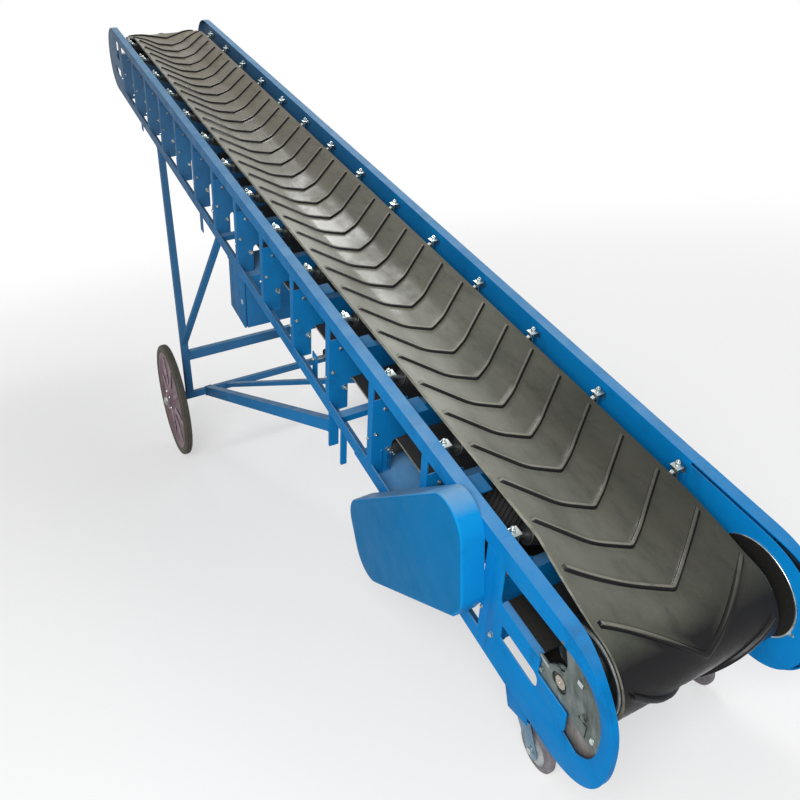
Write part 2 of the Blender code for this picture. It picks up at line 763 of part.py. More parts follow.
def take_up():
    """A sliding bearing plate in the tail window, pulled by a screw, with a liner below it."""
    inner = FRAME_INNER - GAP - TAKE_UP_THICK
    outer = FRAME_INNER - GAP
    roof = FRAME_TOP - RIM / 2
    front = TAIL_CENTRE_U + TAKE_UP_LOBE
    body = TAIL_CENTRE_U + TAKE_UP_BODY
    curve = round_side(TAIL_CENTRE_U, TAKE_UP_R, roof, TAKE_UP_BOTTOM, -1, CURVE_STEPS)
    lobe = [
        (body, TAKE_UP_BOTTOM),
        (front, STEP_FLOOR),
        (front, TAKE_UP_LOBE_TOP[0]),
        (body, TAKE_UP_LOBE_TOP[1]),
    ]
    shapes = [
        side_plate([(body, roof)] + curve + lobe, inner, outer),
        cross_bar(TAIL_DRUM_U, DRUM_W, inner - BEARING_LENGTH, inner + WELD, BEARING_R, SHAFT_SIDES),
    ]
    cuts = [
        cross_bar(TAIL_DRUM_U, DRUM_W, inner - WELD, outer + SHEET, TAKE_UP_HOLE_R, SHAFT_SIDES),
        cross_bar(TAIL_DRUM_U, DRUM_W, 0, outer, DRUM_SHAFT_R + PIN_GAP, SHAFT_SIDES),
    ]
    liner_u = [TAIL_CENTRE_U + place for place in LINER_U]
    shapes.append(block(sorted(liner_u), (inner - 2 * SHEET, inner - SHEET), LINER_W))
    foot_w = (LINER_W[1] - SHEET, TAKE_UP_BOTTOM + SHEET)
    shapes.append(block((liner_u[0] - 2 * SHEET, liner_u[0]), (inner - 2 * SHEET, inner + WELD), foot_w))
    lug_u = TAIL_CENTRE_U - TAKE_UP_R / 2
    screw_v = inner - 2 * SCREW_NUT_R
    lug_w = (SCREW_W - SCREW_NUT_R, SCREW_W + SCREW_NUT_R)
    shapes.append(block((lug_u - SHEET, lug_u + SHEET), (screw_v - SCREW_NUT_R, inner + WELD), lug_w))
    screw_end = TAIL_CENTRE_U - END_R + 2 * SHEET
    screw_ends = ((lug_u, screw_v, SCREW_W), (screw_end, screw_v, SCREW_W))
    shapes.append(bar_between(*screw_ends, SCREW_R, PIN_SIDES))
    nut_u = lug_u - 4 * SHEET
    nut_ends = ((nut_u, screw_v, SCREW_W), (nut_u - SCREW_NUT_R, screw_v, SCREW_W))
    shapes.append(bar_between(*nut_ends, SCREW_NUT_R, PIN_SIDES))
    return shapes, cuts


# Belt

def tangent_angle(centre, radius, point, side):
    """Angle on a circle of the line from a point that just touches it."""
    offset = Vector(point) - Vector(centre)
    return math.atan2(offset.y, offset.x) + side * math.acos(radius / offset.length)


class BeltPath:
    """The inner line of the belt: place, outward normal and depth of trough at a length s."""

    def __init__(self):
        tail, head = (TAIL_DRUM_U, DRUM_W), (HEAD_DRUM_U, DRUM_W)
        first = (-TRANSITION_END, BELT_BED)
        last = (LAST_IDLER_U + TRANSITION_END, BELT_BED)
        radius = DRUM_R
        leave = tangent_angle(tail, radius, first, 1)
        meet = tangent_angle(head, radius, last, -1)
        off_tail = (tail[0] + radius * math.cos(leave), tail[1] + radius * math.sin(leave))
        on_head = (head[0] + radius * math.cos(meet), head[1] + radius * math.sin(meet))
        head_low = (head[0], head[1] - radius)
        tail_low = (tail[0], tail[1] - radius)
        self.parts = [
            ("line", off_tail, first, 0.0, 1.0),
            ("line", first, last, 1.0, 1.0),
            ("line", last, on_head, 1.0, 0.0),
            ("arc", head, meet, -math.pi / 2 - meet, radius),
            ("line", head_low, tail_low, 0.0, 0.0),
            ("arc", tail, -math.pi / 2, leave - 1.5 * math.pi, radius),
        ]
        self.ends = []
        total = 0.0
        for part in self.parts:
            total += self.length_of(part)
            self.ends.append(total)
        self.total = total

    def length_of(self, part):
        if part[0] == "line":
            return (Vector(part[2]) - Vector(part[1])).length
        return abs(part[3]) * part[4]

    def at(self, s):
        s %= self.total
        start = 0.0
        for part, end in zip(self.parts, self.ends):
            if s <= end:
                break
            start = end
        share = (s - start) / (end - start)
        if part[0] == "line":
            a, b = Vector(part[1]), Vector(part[2])
            along = (b - a).normalized()
            trough = part[3] + (part[4] - part[3]) * share
            normal = Vector((-along.y, along.x)).lerp(Vector((0, 1)), trough)
            return a.lerp(b, share), normal, trough
        angle = part[2] + part[3] * share
        normal = Vector((math.cos(angle), math.sin(angle)))
        return Vector(part[1]) + normal * part[4], normal, 0.0

    def straight(self, s, reach):
        """Whether the belt keeps one shape from s to s + reach."""
        edges = [0.0] + self.ends
        s %= self.total
        for i in (1, 4):
            if edges[i] <= s and s + reach <= edges[i + 1]:
                return True
        return False

    def point(self, s, t, height):
        """A point of the belt: s along it, t across it, height above its inner face."""
        base, normal, trough = self.at(s)
        angle = trough * TROUGH
        side = 1 if t >= 0 else -1
        out = abs(t) - FLAT_HALF
        if out <= 1e-6:
            lean = angle / 2 if out > -1e-6 else 0.0
            v, rise = abs(t), 0.0
        else:
            lean = angle
            v, rise = FLAT_HALF + out * math.cos(angle), out * math.sin(angle)
        v -= height * math.tan(lean) if lean < angle else height * math.sin(lean)
        rise += height if lean < angle else height * math.cos(lean)
        place_uw = base + normal * rise
        return Vector((place_uw.x, side * v, place_uw.y))


def belt_rows(path):
    """Places of the outer face's rows in the middle of the belt, and which of them start a lug."""
    count = round(path.total / LUG_SPACING)
    spacing = path.total / count
    sweep = LUG_SWEEP * BELT_HALF
    rows = []
    for i in range(count):
        s = i * spacing
        rows.append((s, True))
        rows.append((s + LUG_WIDTH, False))
        if not path.straight(s, spacing + sweep):
            step = (spacing - LUG_WIDTH) / ROWS_ON_BEND
            for k in range(1, ROWS_ON_BEND):
                rows.append((s + LUG_WIDTH + k * step, False))
    return rows


def inner_places(path):
    """Places of the inner face's straight rows."""
    places = []
    start = 0.0
    for part, end in zip(path.parts, path.ends):
        straight = part[0] == "line" and part[3] == part[4]
        step = INNER_STEP_STRAIGHT if straight else INNER_STEP_BEND
        if part[0] == "line" and part[3] != part[4]:
            step = (end - start) / INNER_ROWS_TRANSITION
        count = max(1, round((end - start) / step))
        for k in range(count):
            places.append(start + (end - start) * k / count)
        start = end
    return places


def sew(mesh, first, second, total):
    """Closes the belt's edge between two rings of points, each given as (place, vertex)."""
    first = sorted(first, key=lambda item: item[0])
    second = sorted(second, key=lambda item: item[0])
    i, j = 0, 0
    while i < len(first) or j < len(second):
        a, b = first[i % len(first)], second[j % len(second)]
        next_a = first[(i + 1) % len(first)][0] + (total if i + 1 >= len(first) else 0)
        next_b = second[(j + 1) % len(second)][0] + (total if j + 1 >= len(second) else 0)
        if j >= len(second) or (i < len(first) and next_a <= next_b):
            mesh.faces.new((a[1], first[(i + 1) % len(first)][1], b[1]))
            i += 1
        else:
            mesh.faces.new((a[1], second[(j + 1) % len(second)][1], b[1]))
            j += 1


def belt_shape():
    """A belt whose rows follow its chevrons, with lugs raised on it."""
    path = BeltPath()
    half_columns = [0.0, FLAT_HALF, BELT_HALF - LUG_MARGIN, BELT_HALF]
    columns = [-t for t in reversed(half_columns[1:])] + half_columns
    lug_from, lug_to = 1, len(columns) - 2
    mesh = bmesh.new()
    rows = belt_rows(path)
    grid = []
    for s, _ in rows:
        grid.append([
            mesh.verts.new(path.point(s + LUG_SWEEP * abs(t), t, BELT_THICK)) for t in columns
        ])
    for r, (s, lug) in enumerate(rows):
        here, beyond = grid[r], grid[(r + 1) % len(rows)]
        for c in range(len(columns) - 1):
            if not lug or c < lug_from or c >= lug_to:
                mesh.faces.new((here[c], here[c + 1], beyond[c + 1], beyond[c]))
        if not lug:
            continue
        tops = []
        for place_s in (s + LUG_TOP_INSET, s + LUG_WIDTH - LUG_TOP_INSET):
            tops.append([
                mesh.verts.new(path.point(place_s + LUG_SWEEP * abs(t), t, BELT_THICK + LUG_HEIGHT))
                for t in columns[lug_from:lug_to + 1]
            ])
        for c in range(lug_from, lug_to):
            k = c - lug_from
            mesh.faces.new((here[c], here[c + 1], tops[0][k + 1], tops[0][k]))
            mesh.faces.new((tops[0][k], tops[0][k + 1], tops[1][k + 1], tops[1][k]))
            mesh.faces.new((tops[1][k], tops[1][k + 1], beyond[c + 1], beyond[c]))
        for c, k in ((lug_from, 0), (lug_to, -1)):
            mesh.faces.new((here[c], tops[0][k], tops[1][k], beyond[c]))
    inner_columns = (-BELT_HALF, -FLAT_HALF, FLAT_HALF, BELT_HALF)
    places = inner_places(path)
    inner = [[mesh.verts.new(path.point(s, t, 0.0)) for t in inner_columns] for s in places]
    for r in range(len(places)):
        here, beyond = inner[r], inner[(r + 1) % len(places)]
        for c in range(len(inner_columns) - 1):
            mesh.faces.new((here[c], here[c + 1], beyond[c + 1], beyond[c]))
    for edge in (0, -1):
        outer_ring = [
            ((s + LUG_SWEEP * BELT_HALF) % path.total, grid[r][edge]) for r, (s, _) in enumerate(rows)
        ]
        inner_ring = [(s % path.total, inner[r][edge]) for r, s in enumerate(places)]
        sew(mesh, outer_ring, inner_ring, path.total)
    return facing_out(mesh)


# Drive

def guard():
    """The belt drive's cover: a rounded box with a softened outer edge."""
    outline = rounded(GUARD_CORNERS, 6)
    back, front = FRAME_HALF + GAP, FRAME_HALF + GUARD_DEPTH
    mesh = side_plate(outline, back, front)
    edges = [e for e in mesh.edges if all(abs(p.co.y - front) < WELD / 10 for p in e.verts)]
    bmesh.ops.bevel(mesh, geom=edges, offset=GUARD_ROUND, segments=2, profile=0.5, affect="EDGES")
    return [facing_out(mesh)]


def motor():
    """A geared motor that hangs from its plate."""
    top = RAIL_BOTTOM - 2 * GAP - MOTOR_PLATE
    axis_w = top - MOTOR_DROP
    start, end = MOTOR_V
    half = GEARBOX_HALF
    face = FRAME_HALF - GEARBOX_IN
    foot = axis_w + MOTOR_R * MOTOR_FOOT
    return [
        cross_bar(MOTOR_U, axis_w, start, end, MOTOR_R, MOTOR_SIDES),
        cross_bar(MOTOR_U, axis_w, start - MOTOR_FAN[0], start + MOTOR_FAN[1], MOTOR_FAN_R, MOTOR_SIDES),
        block((MOTOR_U - half, MOTOR_U + half), (end - WELD, face), (axis_w - half, top)),
        block((MOTOR_U - half, MOTOR_U + half), (start + half / 2, end), (foot, top)),
        cross_bar(MOTOR_U, axis_w, face - WELD, FRAME_HALF, DRUM_SHAFT_R, SHAFT_SIDES),
    ]


# Undercarriage

def leg_line(side):
    foot = Vector((AXLE_X, side * LEG_FOOT_Y, WHEEL_R + AXLE_TUBE / 2))
    head = deck_point(LEG_TOP_U, side * (FRAME_HALF - LEG_TUBE / 2), RAIL_BOTTOM)
    return foot, head


def extended(start, end, more):
    along = (end - start).normalized() * more
    return start - along, end + along


def under_deck(mesh):
    """Cuts a tube off against the underside of the bottom rail."""
    return trim(mesh, deck_point(0, 0, RAIL_BOTTOM - GAP), DECK_UP)


def leg(side):
    foot, head = leg_line(side)
    mesh = square_tube(*extended(foot, head, TUBE_SPARE), LEG_TUBE, LEG_TUBE, Vector((1, 0, 0)))
    mesh = trim(mesh, foot + Vector((0, 0, GAP)), Vector((0, 0, -1)))
    return under_deck(mesh)


def leg_face(side, toward):
    """A point and normal on the leg's face that looks toward a direction."""
    foot, head = leg_line(side)
    along = (head - foot).normalized()
    across = along.cross(Vector((1, 0, 0))).normalized()
    rise = across.cross(along).normalized()
    normal = max((across, -across, rise, -rise), key=lambda n: n.dot(toward))
    return foot + normal * (LEG_TUBE / 2 + GAP), normal


def leg_at(side, z):
    foot, head = leg_line(side)
    return foot.lerp(head, (z - foot.z) / (head.z - foot.z))


def strut(side):
    foot = leg_at(side, STRUT_FOOT_Z)
    head = deck_point(STRUT_TOP_U, side * (FRAME_HALF - STRUT_TUBE / 2), RAIL_BOTTOM)
    mesh = square_tube(*extended(foot, head, TUBE_SPARE), STRUT_TUBE, STRUT_TUBE, Vector((1, 0, 0)))
    point, normal = leg_face(side, Vector((-1, 0, 0)))
    return under_deck(trim(mesh, point, -normal))


def upper_beam():
    left, right = leg_at(1, UPPER_BEAM_Z), leg_at(-1, UPPER_BEAM_Z)
    ends = extended(right, left, TUBE_SPARE)
    mesh = square_tube(*ends, UPPER_BEAM_TUBE, UPPER_BEAM_TUBE, Vector((0, 0, 1)))
    for side in (1, -1):
        point, normal = leg_face(side, Vector((0, -side, 0)))
        mesh = trim(mesh, point, -normal)
    return mesh


def axle_beam():
    """The axle tube with its stub axles and their end nuts."""
    half = AXLE_TUBE / 2
    end = WHEEL_Y + HUB_HALF
    shapes = [
        block((AXLE_X - half, AXLE_X + half), (-AXLE_HALF, AXLE_HALF), (WHEEL_R - half, WHEEL_R + half)),
        cross_bar(AXLE_X, WHEEL_R, -end - AXLE_END, end + AXLE_END, AXLE_R, SHAFT_SIDES),
    ]
    for side in (1, -1):
        nut = (side * (end + PIN_GAP), side * (end + AXLE_END + SHEET))
        shapes.append(cross_bar(AXLE_X, WHEEL_R, *nut, AXLE_NUT_R, PIN_SIDES))
        collar = (side * (AXLE_HALF - WELD), side * (WHEEL_Y - HUB_HALF - PIN_GAP))
        shapes.append(cross_bar(AXLE_X, WHEEL_R, *collar, AXLE_NUT_R, SHAFT_SIDES))
    return shapes


def axle_face(mesh):
    """Cuts a brace off against the tail side of the axle tube."""
    return trim(mesh, Vector((AXLE_X - AXLE_TUBE / 2 - GAP, 0, 0)), Vector((1, 0, 0)))


def brace(side):
    foot = Vector((AXLE_X, side * BRACE_FOOT_Y, WHEEL_R))
    head = deck_point(BRACKET_U[1], side * (FRAME_HALF - BRACKET_WIDTH / 2), BRACE_HEAD_W)
    mesh = square_tube(*extended(foot, head, TUBE_SPARE), BRACE_WIDTH, BRACE_TUBE, Vector((0, 0, 1)))
    mesh = trim(mesh, deck_point(BRACKET_U[1] + GAP, 0, 0), -DECK_ALONG)
    return axle_face(mesh)


def diagonal():
    foot = Vector((AXLE_X, DIAGONAL_FOOT_Y, WHEEL_R))
    tie_front = TIE_U[0] + TIE_WIDTH / 2 + GAP
    head = deck_point(tie_front, DIAGONAL_TOP_Y, RAIL_BOTTOM + SHEET + TIE_DEPTH / 2)
    mesh = square_tube(*extended(foot, head, TUBE_SPARE), DIAGONAL_TUBE, DIAGONAL_DEPTH, Vector((0, 0, 1)))
    mesh = trim(mesh, deck_point(tie_front, 0, 0), -DECK_ALONG)
    return axle_face(mesh)


def wheel_profile():
    """A dished disc wheel, from its bore to its rim: radius and place along the axle."""
    rim_r = WHEEL_R - TYRE_DEPTH
    half = TYRE_WIDTH / 2 - DISC_WALL
    bore = AXLE_R + PIN_GAP
    disc = DISC_WALL / 2
    return [
        (bore, -HUB_HALF),
        (HUB_R, -HUB_HALF),
        (HUB_R + DISC_FLARE, disc),
        (rim_r - RIM_DEPTH, -disc),
        (rim_r, -half),
        (rim_r, half),
        (rim_r - RIM_DEPTH, disc),
        (HUB_R + DISC_FLARE, disc + DISC_WALL),
        (HUB_R, HUB_HALF),
        (bore, HUB_HALF),
    ]


def tyre_profile():
    """A solid tyre: seat, shoulders and a flat tread."""
    rim_r = WHEEL_R - TYRE_DEPTH + GAP
    half = TYRE_WIDTH / 2
    return [
        (rim_r, -half + DISC_WALL),
        (WHEEL_R - TYRE_SHOULDER, -half),
        (WHEEL_R, -half / 2),
        (WHEEL_R, half / 2),
        (WHEEL_R - TYRE_SHOULDER, half),
        (rim_r, half - DISC_WALL),
    ]


def make_wheels(paints):
    for name, side in (("left", 1), ("right", -1)):
        centre = (AXLE_X, side * WHEEL_Y, WHEEL_R)
        wheel_shape = turned([(r, side * a) for r, a in wheel_profile()], WHEEL_SIDES, centre)
        solid(f"wheel_{name}", paints["wheel"], [wheel_shape], matrix=UPRIGHT, axis_at=centre)
        tyre_shape = turned(tyre_profile(), WHEEL_SIDES, centre)
        solid(f"tyre_{name}", paints["tyre"], [tyre_shape], matrix=UPRIGHT, axis_at=centre)


# Casters

def caster_bracket(side):
    """A wedge under the bottom rail whose foot is level: a plate, an outer cheek and a gusset."""
    inner, outer = CASTER_Y - CASTER_PLATE_HALF, FRAME_HALF
    base = (CASTER_X - CASTER_PLATE_HALF, CASTER_X + CASTER_PLATE_HALF)
    plate_top = CASTER_TOP_Z + SHEET
    high = rotated(BRACKET_U[0], FRAME_TOP)[1]
    plate = block(base, (inner, outer), (CASTER_TOP_Z, plate_top))
    cheek = block(base, (FRAME_INNER, FRAME_HALF), (plate_top - WELD, high))
    gusset = cross_plate(
        [
            (inner, plate_top - WELD),
            (outer - WELD, plate_top - WELD),
            (outer - WELD, high),
            (FLANGE_INNER, high),
            (FLANGE_INNER, plate_top + 4 * CASTER_GUSSET),
            (inner, plate_top + CASTER_GUSSET),
        ],
        base[1] - SHEET - WELD,
        base[1] - WELD,
    )
    shapes = [plate, under_deck(cheek), under_deck(gusset)]
    return [mirrored(mesh) for mesh in shapes] if side < 0 else shapes


def caster_fork(side):
    """Swivel race, crown, two cheeks and the axle."""
    y = side * CASTER_Y
    top = CASTER_TOP_Z - PIN_GAP
    crown_top = CASTER_WHEEL_R * 2 + CASTER_CLEAR
    wheel_x = CASTER_X - CASTER_TRAIL
    inside = CASTER_WHEEL_HALF + CASTER_FORK_GAP
    outside = inside + CASTER_CHEEK
    crown_x = (CASTER_X + CASTER_CROWN_X[0], CASTER_X + CASTER_CROWN_X[1])
    wide, narrow, drop = CASTER_TIP
    race = bar_between((CASTER_X, y, crown_top - WELD), (CASTER_X, y, top), CASTER_RACE_R, SHAFT_SIDES)
    crown = block(
        crown_x,
        (y - outside, y + outside),
        (crown_top - CASTER_CROWN, crown_top),
    )
    ends = (y - outside, y + outside)
    axle = cross_bar(wheel_x, CASTER_WHEEL_R, *ends, CASTER_AXLE_R, RETURN_SIDES)
    shapes = [race, crown, axle]
    outline = [
        (wheel_x - wide, CASTER_WHEEL_R),
        (wheel_x - narrow, CASTER_WHEEL_R - drop),
        (wheel_x + narrow, CASTER_WHEEL_R - drop),
        (wheel_x + wide, CASTER_WHEEL_R),
        (crown_x[1], crown_top - WELD),
        (crown_x[0], crown_top - WELD),
    ]
    for v in (-outside, inside):
        shapes.append(side_plate(outline, y + v, y + v + CASTER_CHEEK))
    return shapes


def caster_wheel(side):
    """A wheel with a crowned tread and a boss at each side of its bore."""
    bore = CASTER_AXLE_R + PIN_GAP
    half = CASTER_WHEEL_HALF
    boss = half + CASTER_FORK_GAP - PIN_GAP
    profile = [
        (bore, -boss),
        (CASTER_BOSS_R, -boss),
        (CASTER_DISC_R, -half / 2),
        (CASTER_DISC_R + CASTER_FORK_GAP, -half),
        (CASTER_WHEEL_R, -half / 2),
        (CASTER_WHEEL_R, half / 2),
        (CASTER_DISC_R + CASTER_FORK_GAP, half),
        (CASTER_DISC_R, half / 2),
        (CASTER_BOSS_R, boss),
        (bore, boss),
    ]
    centre = (CASTER_X - CASTER_TRAIL, side * CASTER_Y, CASTER_WHEEL_R)
    return turned(profile, CASTER_SIDES, centre), centre


def make_casters(paints):
    for name, side in (("left", 1), ("right", -1)):
        solid(f"caster_bracket_{name}", paints["blue"], caster_bracket(side), matrix=UPRIGHT)
        axis = (CASTER_X, side * CASTER_Y, CASTER_TOP_Z)
        solid(f"caster_fork_{name}", paints["zinc"], caster_fork(side), matrix=UPRIGHT, axis_at=axis)
        shape, centre = caster_wheel(side)
        solid(f"caster_wheel_{name}", paints["caster"], [shape], matrix=UPRIGHT, axis_at=centre)


# The whole

def make_deck(paints):
    blue = paints["blue"]
    both_sides("top_rail", blue, top_rail, extra_left=feed_tabs)
    both_sides("bottom_rail", blue, bottom_rail)
    both_sides("tail_plate", blue, tail_plate)
    both_sides("head_plate", blue, head_plate)
    both_sides("take_up", paints["zinc"], take_up)
    make_idlers(paints["roller"])
    for number, u in enumerate(RETURN_U):
        matrix = DECK @ Matrix.Translation((u, 0, 0))
        solid(f"return_roller_{number + 1}", paints["roller"], return_roller(), matrix=matrix)
    shaft_end = FRAME_INNER - TAKE_UP_THICK / 4
    tail = drum(TAIL_DRUM_U, DRUM_W, DRUM_R - DRUM_GAP, DRUM_HALF, shaft_end, DRUM_SIDES)
    solid("tail_drum", paints["roller"], tail)
    head_end = FRAME_INNER - BEARING_LENGTH - GAP
    head = drum(HEAD_DRUM_U, DRUM_W, DRUM_R - DRUM_GAP, DRUM_HALF, head_end, DRUM_SIDES)
    solid("head_drum", paints["roller"], head)
    drive = drum(DRIVE_U, DRIVE_W, DRIVE_R - GAP, DRUM_HALF, BEARING_PLATE_V - GAP, DRIVE_SIDES)
    solid("drive_drum", paints["roller"], drive)
    solid("chevron_belt", paints["belt"], [belt_shape()])
    for number, u in enumerate(TIE_U):
        reach = (u - TIE_WIDTH / 2, u + TIE_WIDTH / 2)
        end = FRAME_INNER - GAP
        seat = RAIL_BOTTOM + SHEET + GAP
        solid(f"cross_tie_{number + 1}", blue, [block(reach, (-end, end), (seat, seat + TIE_DEPTH))])
    plate_top = RAIL_BOTTOM - GAP
    plate = block(MOTOR_PLATE_U, (-FRAME_HALF, FRAME_HALF), (plate_top - MOTOR_PLATE, plate_top))
    solid("motor_plate", blue, [plate])
    solid("drive_motor", paints["motor"], motor())
    solid("drive_guard", blue, guard())
    cabinet_u = (STRUT_TOP_U - CABINET_BACK[1], STRUT_TOP_U - CABINET_BACK[0])
    cabinet_outer = FRAME_HALF - CABINET_INSET
    cabinet_v = (cabinet_outer - CABINET_WIDTH, cabinet_outer)
    cabinet = block(cabinet_u, cabinet_v, (plate_top - CABINET_DEPTH, plate_top))
    solid("control_cabinet", blue, [cabinet])


def make_undercarriage(paints):
    blue = paints["blue"]
    for name, side in (("left", 1), ("right", -1)):
        solid(f"leg_{name}", blue, [leg(side)], matrix=UPRIGHT)
        solid(f"strut_{name}", blue, [strut(side)], matrix=UPRIGHT)
        solid(f"brace_{name}", blue, [brace(side)], matrix=UPRIGHT)
    solid("upper_beam", blue, [upper_beam()], matrix=UPRIGHT)
    solid("axle_beam", blue, axle_beam(), matrix=UPRIGHT)
    solid("diagonal_brace", blue, [diagonal()], matrix=UPRIGHT)


def main():
    for thing in list(bpy.data.objects):
        bpy.data.objects.remove(thing, do_unlink=True)
    paints = make_materials()
    make_deck(paints)
    make_undercarriage(paints)
    make_wheels(paints)
    make_casters(paints)


main()
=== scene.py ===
"""Looks of the mobile belt conveyor: enamelled folded steel, a moulded chevron belt, zinc fittings,
disc wheels and tail casters. Sizes are metres. Most of the deck is drawn in its own frame:
u runs along the deck towards the head, v to the left, w square to the belt."""

import math

import bmesh
import bpy
from mathutils import Matrix, Vector


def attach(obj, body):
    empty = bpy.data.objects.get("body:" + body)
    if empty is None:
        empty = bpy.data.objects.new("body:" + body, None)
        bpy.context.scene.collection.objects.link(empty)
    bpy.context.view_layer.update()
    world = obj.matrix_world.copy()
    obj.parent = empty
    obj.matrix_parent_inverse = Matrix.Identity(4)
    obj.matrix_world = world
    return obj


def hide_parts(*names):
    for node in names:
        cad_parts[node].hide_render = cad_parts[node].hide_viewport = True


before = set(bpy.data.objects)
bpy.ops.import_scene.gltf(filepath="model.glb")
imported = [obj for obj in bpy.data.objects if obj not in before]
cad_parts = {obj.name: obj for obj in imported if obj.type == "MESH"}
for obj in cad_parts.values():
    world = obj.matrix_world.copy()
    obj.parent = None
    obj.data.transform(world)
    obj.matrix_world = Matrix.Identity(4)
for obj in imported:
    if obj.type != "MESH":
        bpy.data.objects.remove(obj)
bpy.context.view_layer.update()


# The folded-steel side frames
# Channels and angles of 5 mm sheet, folded, welded to their posts and sprayed with a blue gloss enamel.
# The enamel is paler where it lies thick, holds pale dust on its upper faces and is chipped in places.
# Its upper faces also carry a painted sheen, and towards the head it is painted darker and greyer as
# painted shade.

SLOPE = math.radians(20.4)
DECK_FOOT_X = -2.472138
DECK = Matrix.Translation((DECK_FOOT_X, 0.0, 0.776)) @ Matrix.Rotation(-SLOPE, 4, "Y")
STATIONS = [0.4 * i for i in range(14)]
FRAME_FACE = 0.3880
FRAME_TOP = 0.0210
FRAME_FOOT = -0.4650
POST_BACK = 0.0197
POST_INNER = 0.306
WELD_V = FRAME_FACE - 0.0008
ENAMEL_DEEP = (0.002, 0.160, 0.430, 1)
ENAMEL_PALE = (0.004, 0.205, 0.520, 1)
# This colour is pale dust together with a painted sheen on the upper faces.
ENAMEL_DUST_SHEEN = (0.235, 0.375, 0.510, 1)
ENAMEL_GRIME = (0.006, 0.070, 0.170, 1)
ENAMEL_CHIP = (0.040, 0.190, 0.340, 1)
# These two colours are painted shade, laid on darker and then greyer towards the head.
ENAMEL_HEAD_SHADE = (0.022, 0.072, 0.125, 1)
ENAMEL_HEAD_GREY_SHADE = (0.135, 0.155, 0.165, 1)


def node_tree(name):
    """A new material with its tree and its shader."""
    material = bpy.data.materials.new(name)
    material.use_nodes = True
    tree = material.node_tree
    return material, tree, tree.nodes["Principled BSDF"]


def grain(tree, scale, detail=4.0, roughness=0.55, stretch=(1, 1, 1), along_deck=False):
    """Noise laid over the piece in its own metres. Gives a number from 0 to 1."""
    place = tree.nodes.new("ShaderNodeTexCoord")
    mapping = tree.nodes.new("ShaderNodeMapping")
    mapping.inputs["Scale"].default_value = stretch
    if along_deck:
        mapping.inputs["Rotation"].default_value = (0, SLOPE, 0)
    tree.links.new(place.outputs["Object"], mapping.inputs["Vector"])
    noise = tree.nodes.new("ShaderNodeTexNoise")
    noise.inputs["Scale"].default_value = scale
    noise.inputs["Detail"].default_value = detail
    noise.inputs["Roughness"].default_value = roughness
    tree.links.new(mapping.outputs["Vector"], noise.inputs["Vector"])
    return noise.outputs["Fac"]


def spread(tree, value, low, high, to_low=0.0, to_high=1.0):
    """Stretches a band of a number over a new range."""
    ranger = tree.nodes.new("ShaderNodeMapRange")
    ranger.inputs["From Min"].default_value = low
    ranger.inputs["From Max"].default_value = high
    ranger.inputs["To Min"].default_value = to_low
    ranger.inputs["To Max"].default_value = to_high
    tree.links.new(value, ranger.inputs["Value"])
    return ranger.outputs["Result"]


def times(tree, one, other):
    """One number times another, either of them a socket or plain."""
    node = tree.nodes.new("ShaderNodeMath")
    node.operation = "MULTIPLY"
    for socket, value in zip(node.inputs, (one, other)):
        if isinstance(value, (int, float)):
            socket.default_value = value
        else:
            tree.links.new(value, socket)
    return node.outputs["Value"]


def blend_colours(tree, share, one, other):
    """A colour between two, by a number from 0 to 1. Either may be a colour or a socket."""
    mix = tree.nodes.new("ShaderNodeMix")
    mix.data_type = "RGBA"
    tree.links.new(share, mix.inputs["Factor"])
    for socket, colour in ((mix.inputs[6], one), (mix.inputs[7], other)):
        if isinstance(colour, tuple):
            socket.default_value = colour
        else:
            tree.links.new(colour, socket)
    return mix.outputs[2]


def upward(tree, low=0.55, high=0.98):
    """How far a surface faces up, from 0 to 1."""
    geometry = tree.nodes.new("ShaderNodeNewGeometry")
    split = tree.nodes.new("ShaderNodeSeparateXYZ")
    tree.links.new(geometry.outputs["Normal"], split.inputs["Vector"])
    return spread(tree, split.outputs["Z"], low, high)


def towards_head(tree, start=-0.8, end=3.2):
    """How far up the conveyor a point lies, from 0 to 1. The enamel's painted shade towards the head follows
    it.
    """
    place = tree.nodes.new("ShaderNodeTexCoord")
    split = tree.nodes.new("ShaderNodeSeparateXYZ")
    tree.links.new(place.outputs["Object"], split.inputs["Vector"])
    return spread(tree, split.outputs["X"], start, end)


def ripple(tree, shader, height, strength, distance):
    """Bump from a number."""
    bump = tree.nodes.new("ShaderNodeBump")
    bump.inputs["Strength"].default_value = strength
    bump.inputs["Distance"].default_value = distance
    tree.links.new(height, bump.inputs["Height"])
    tree.links.new(bump.outputs["Normal"], shader.inputs["Normal"])


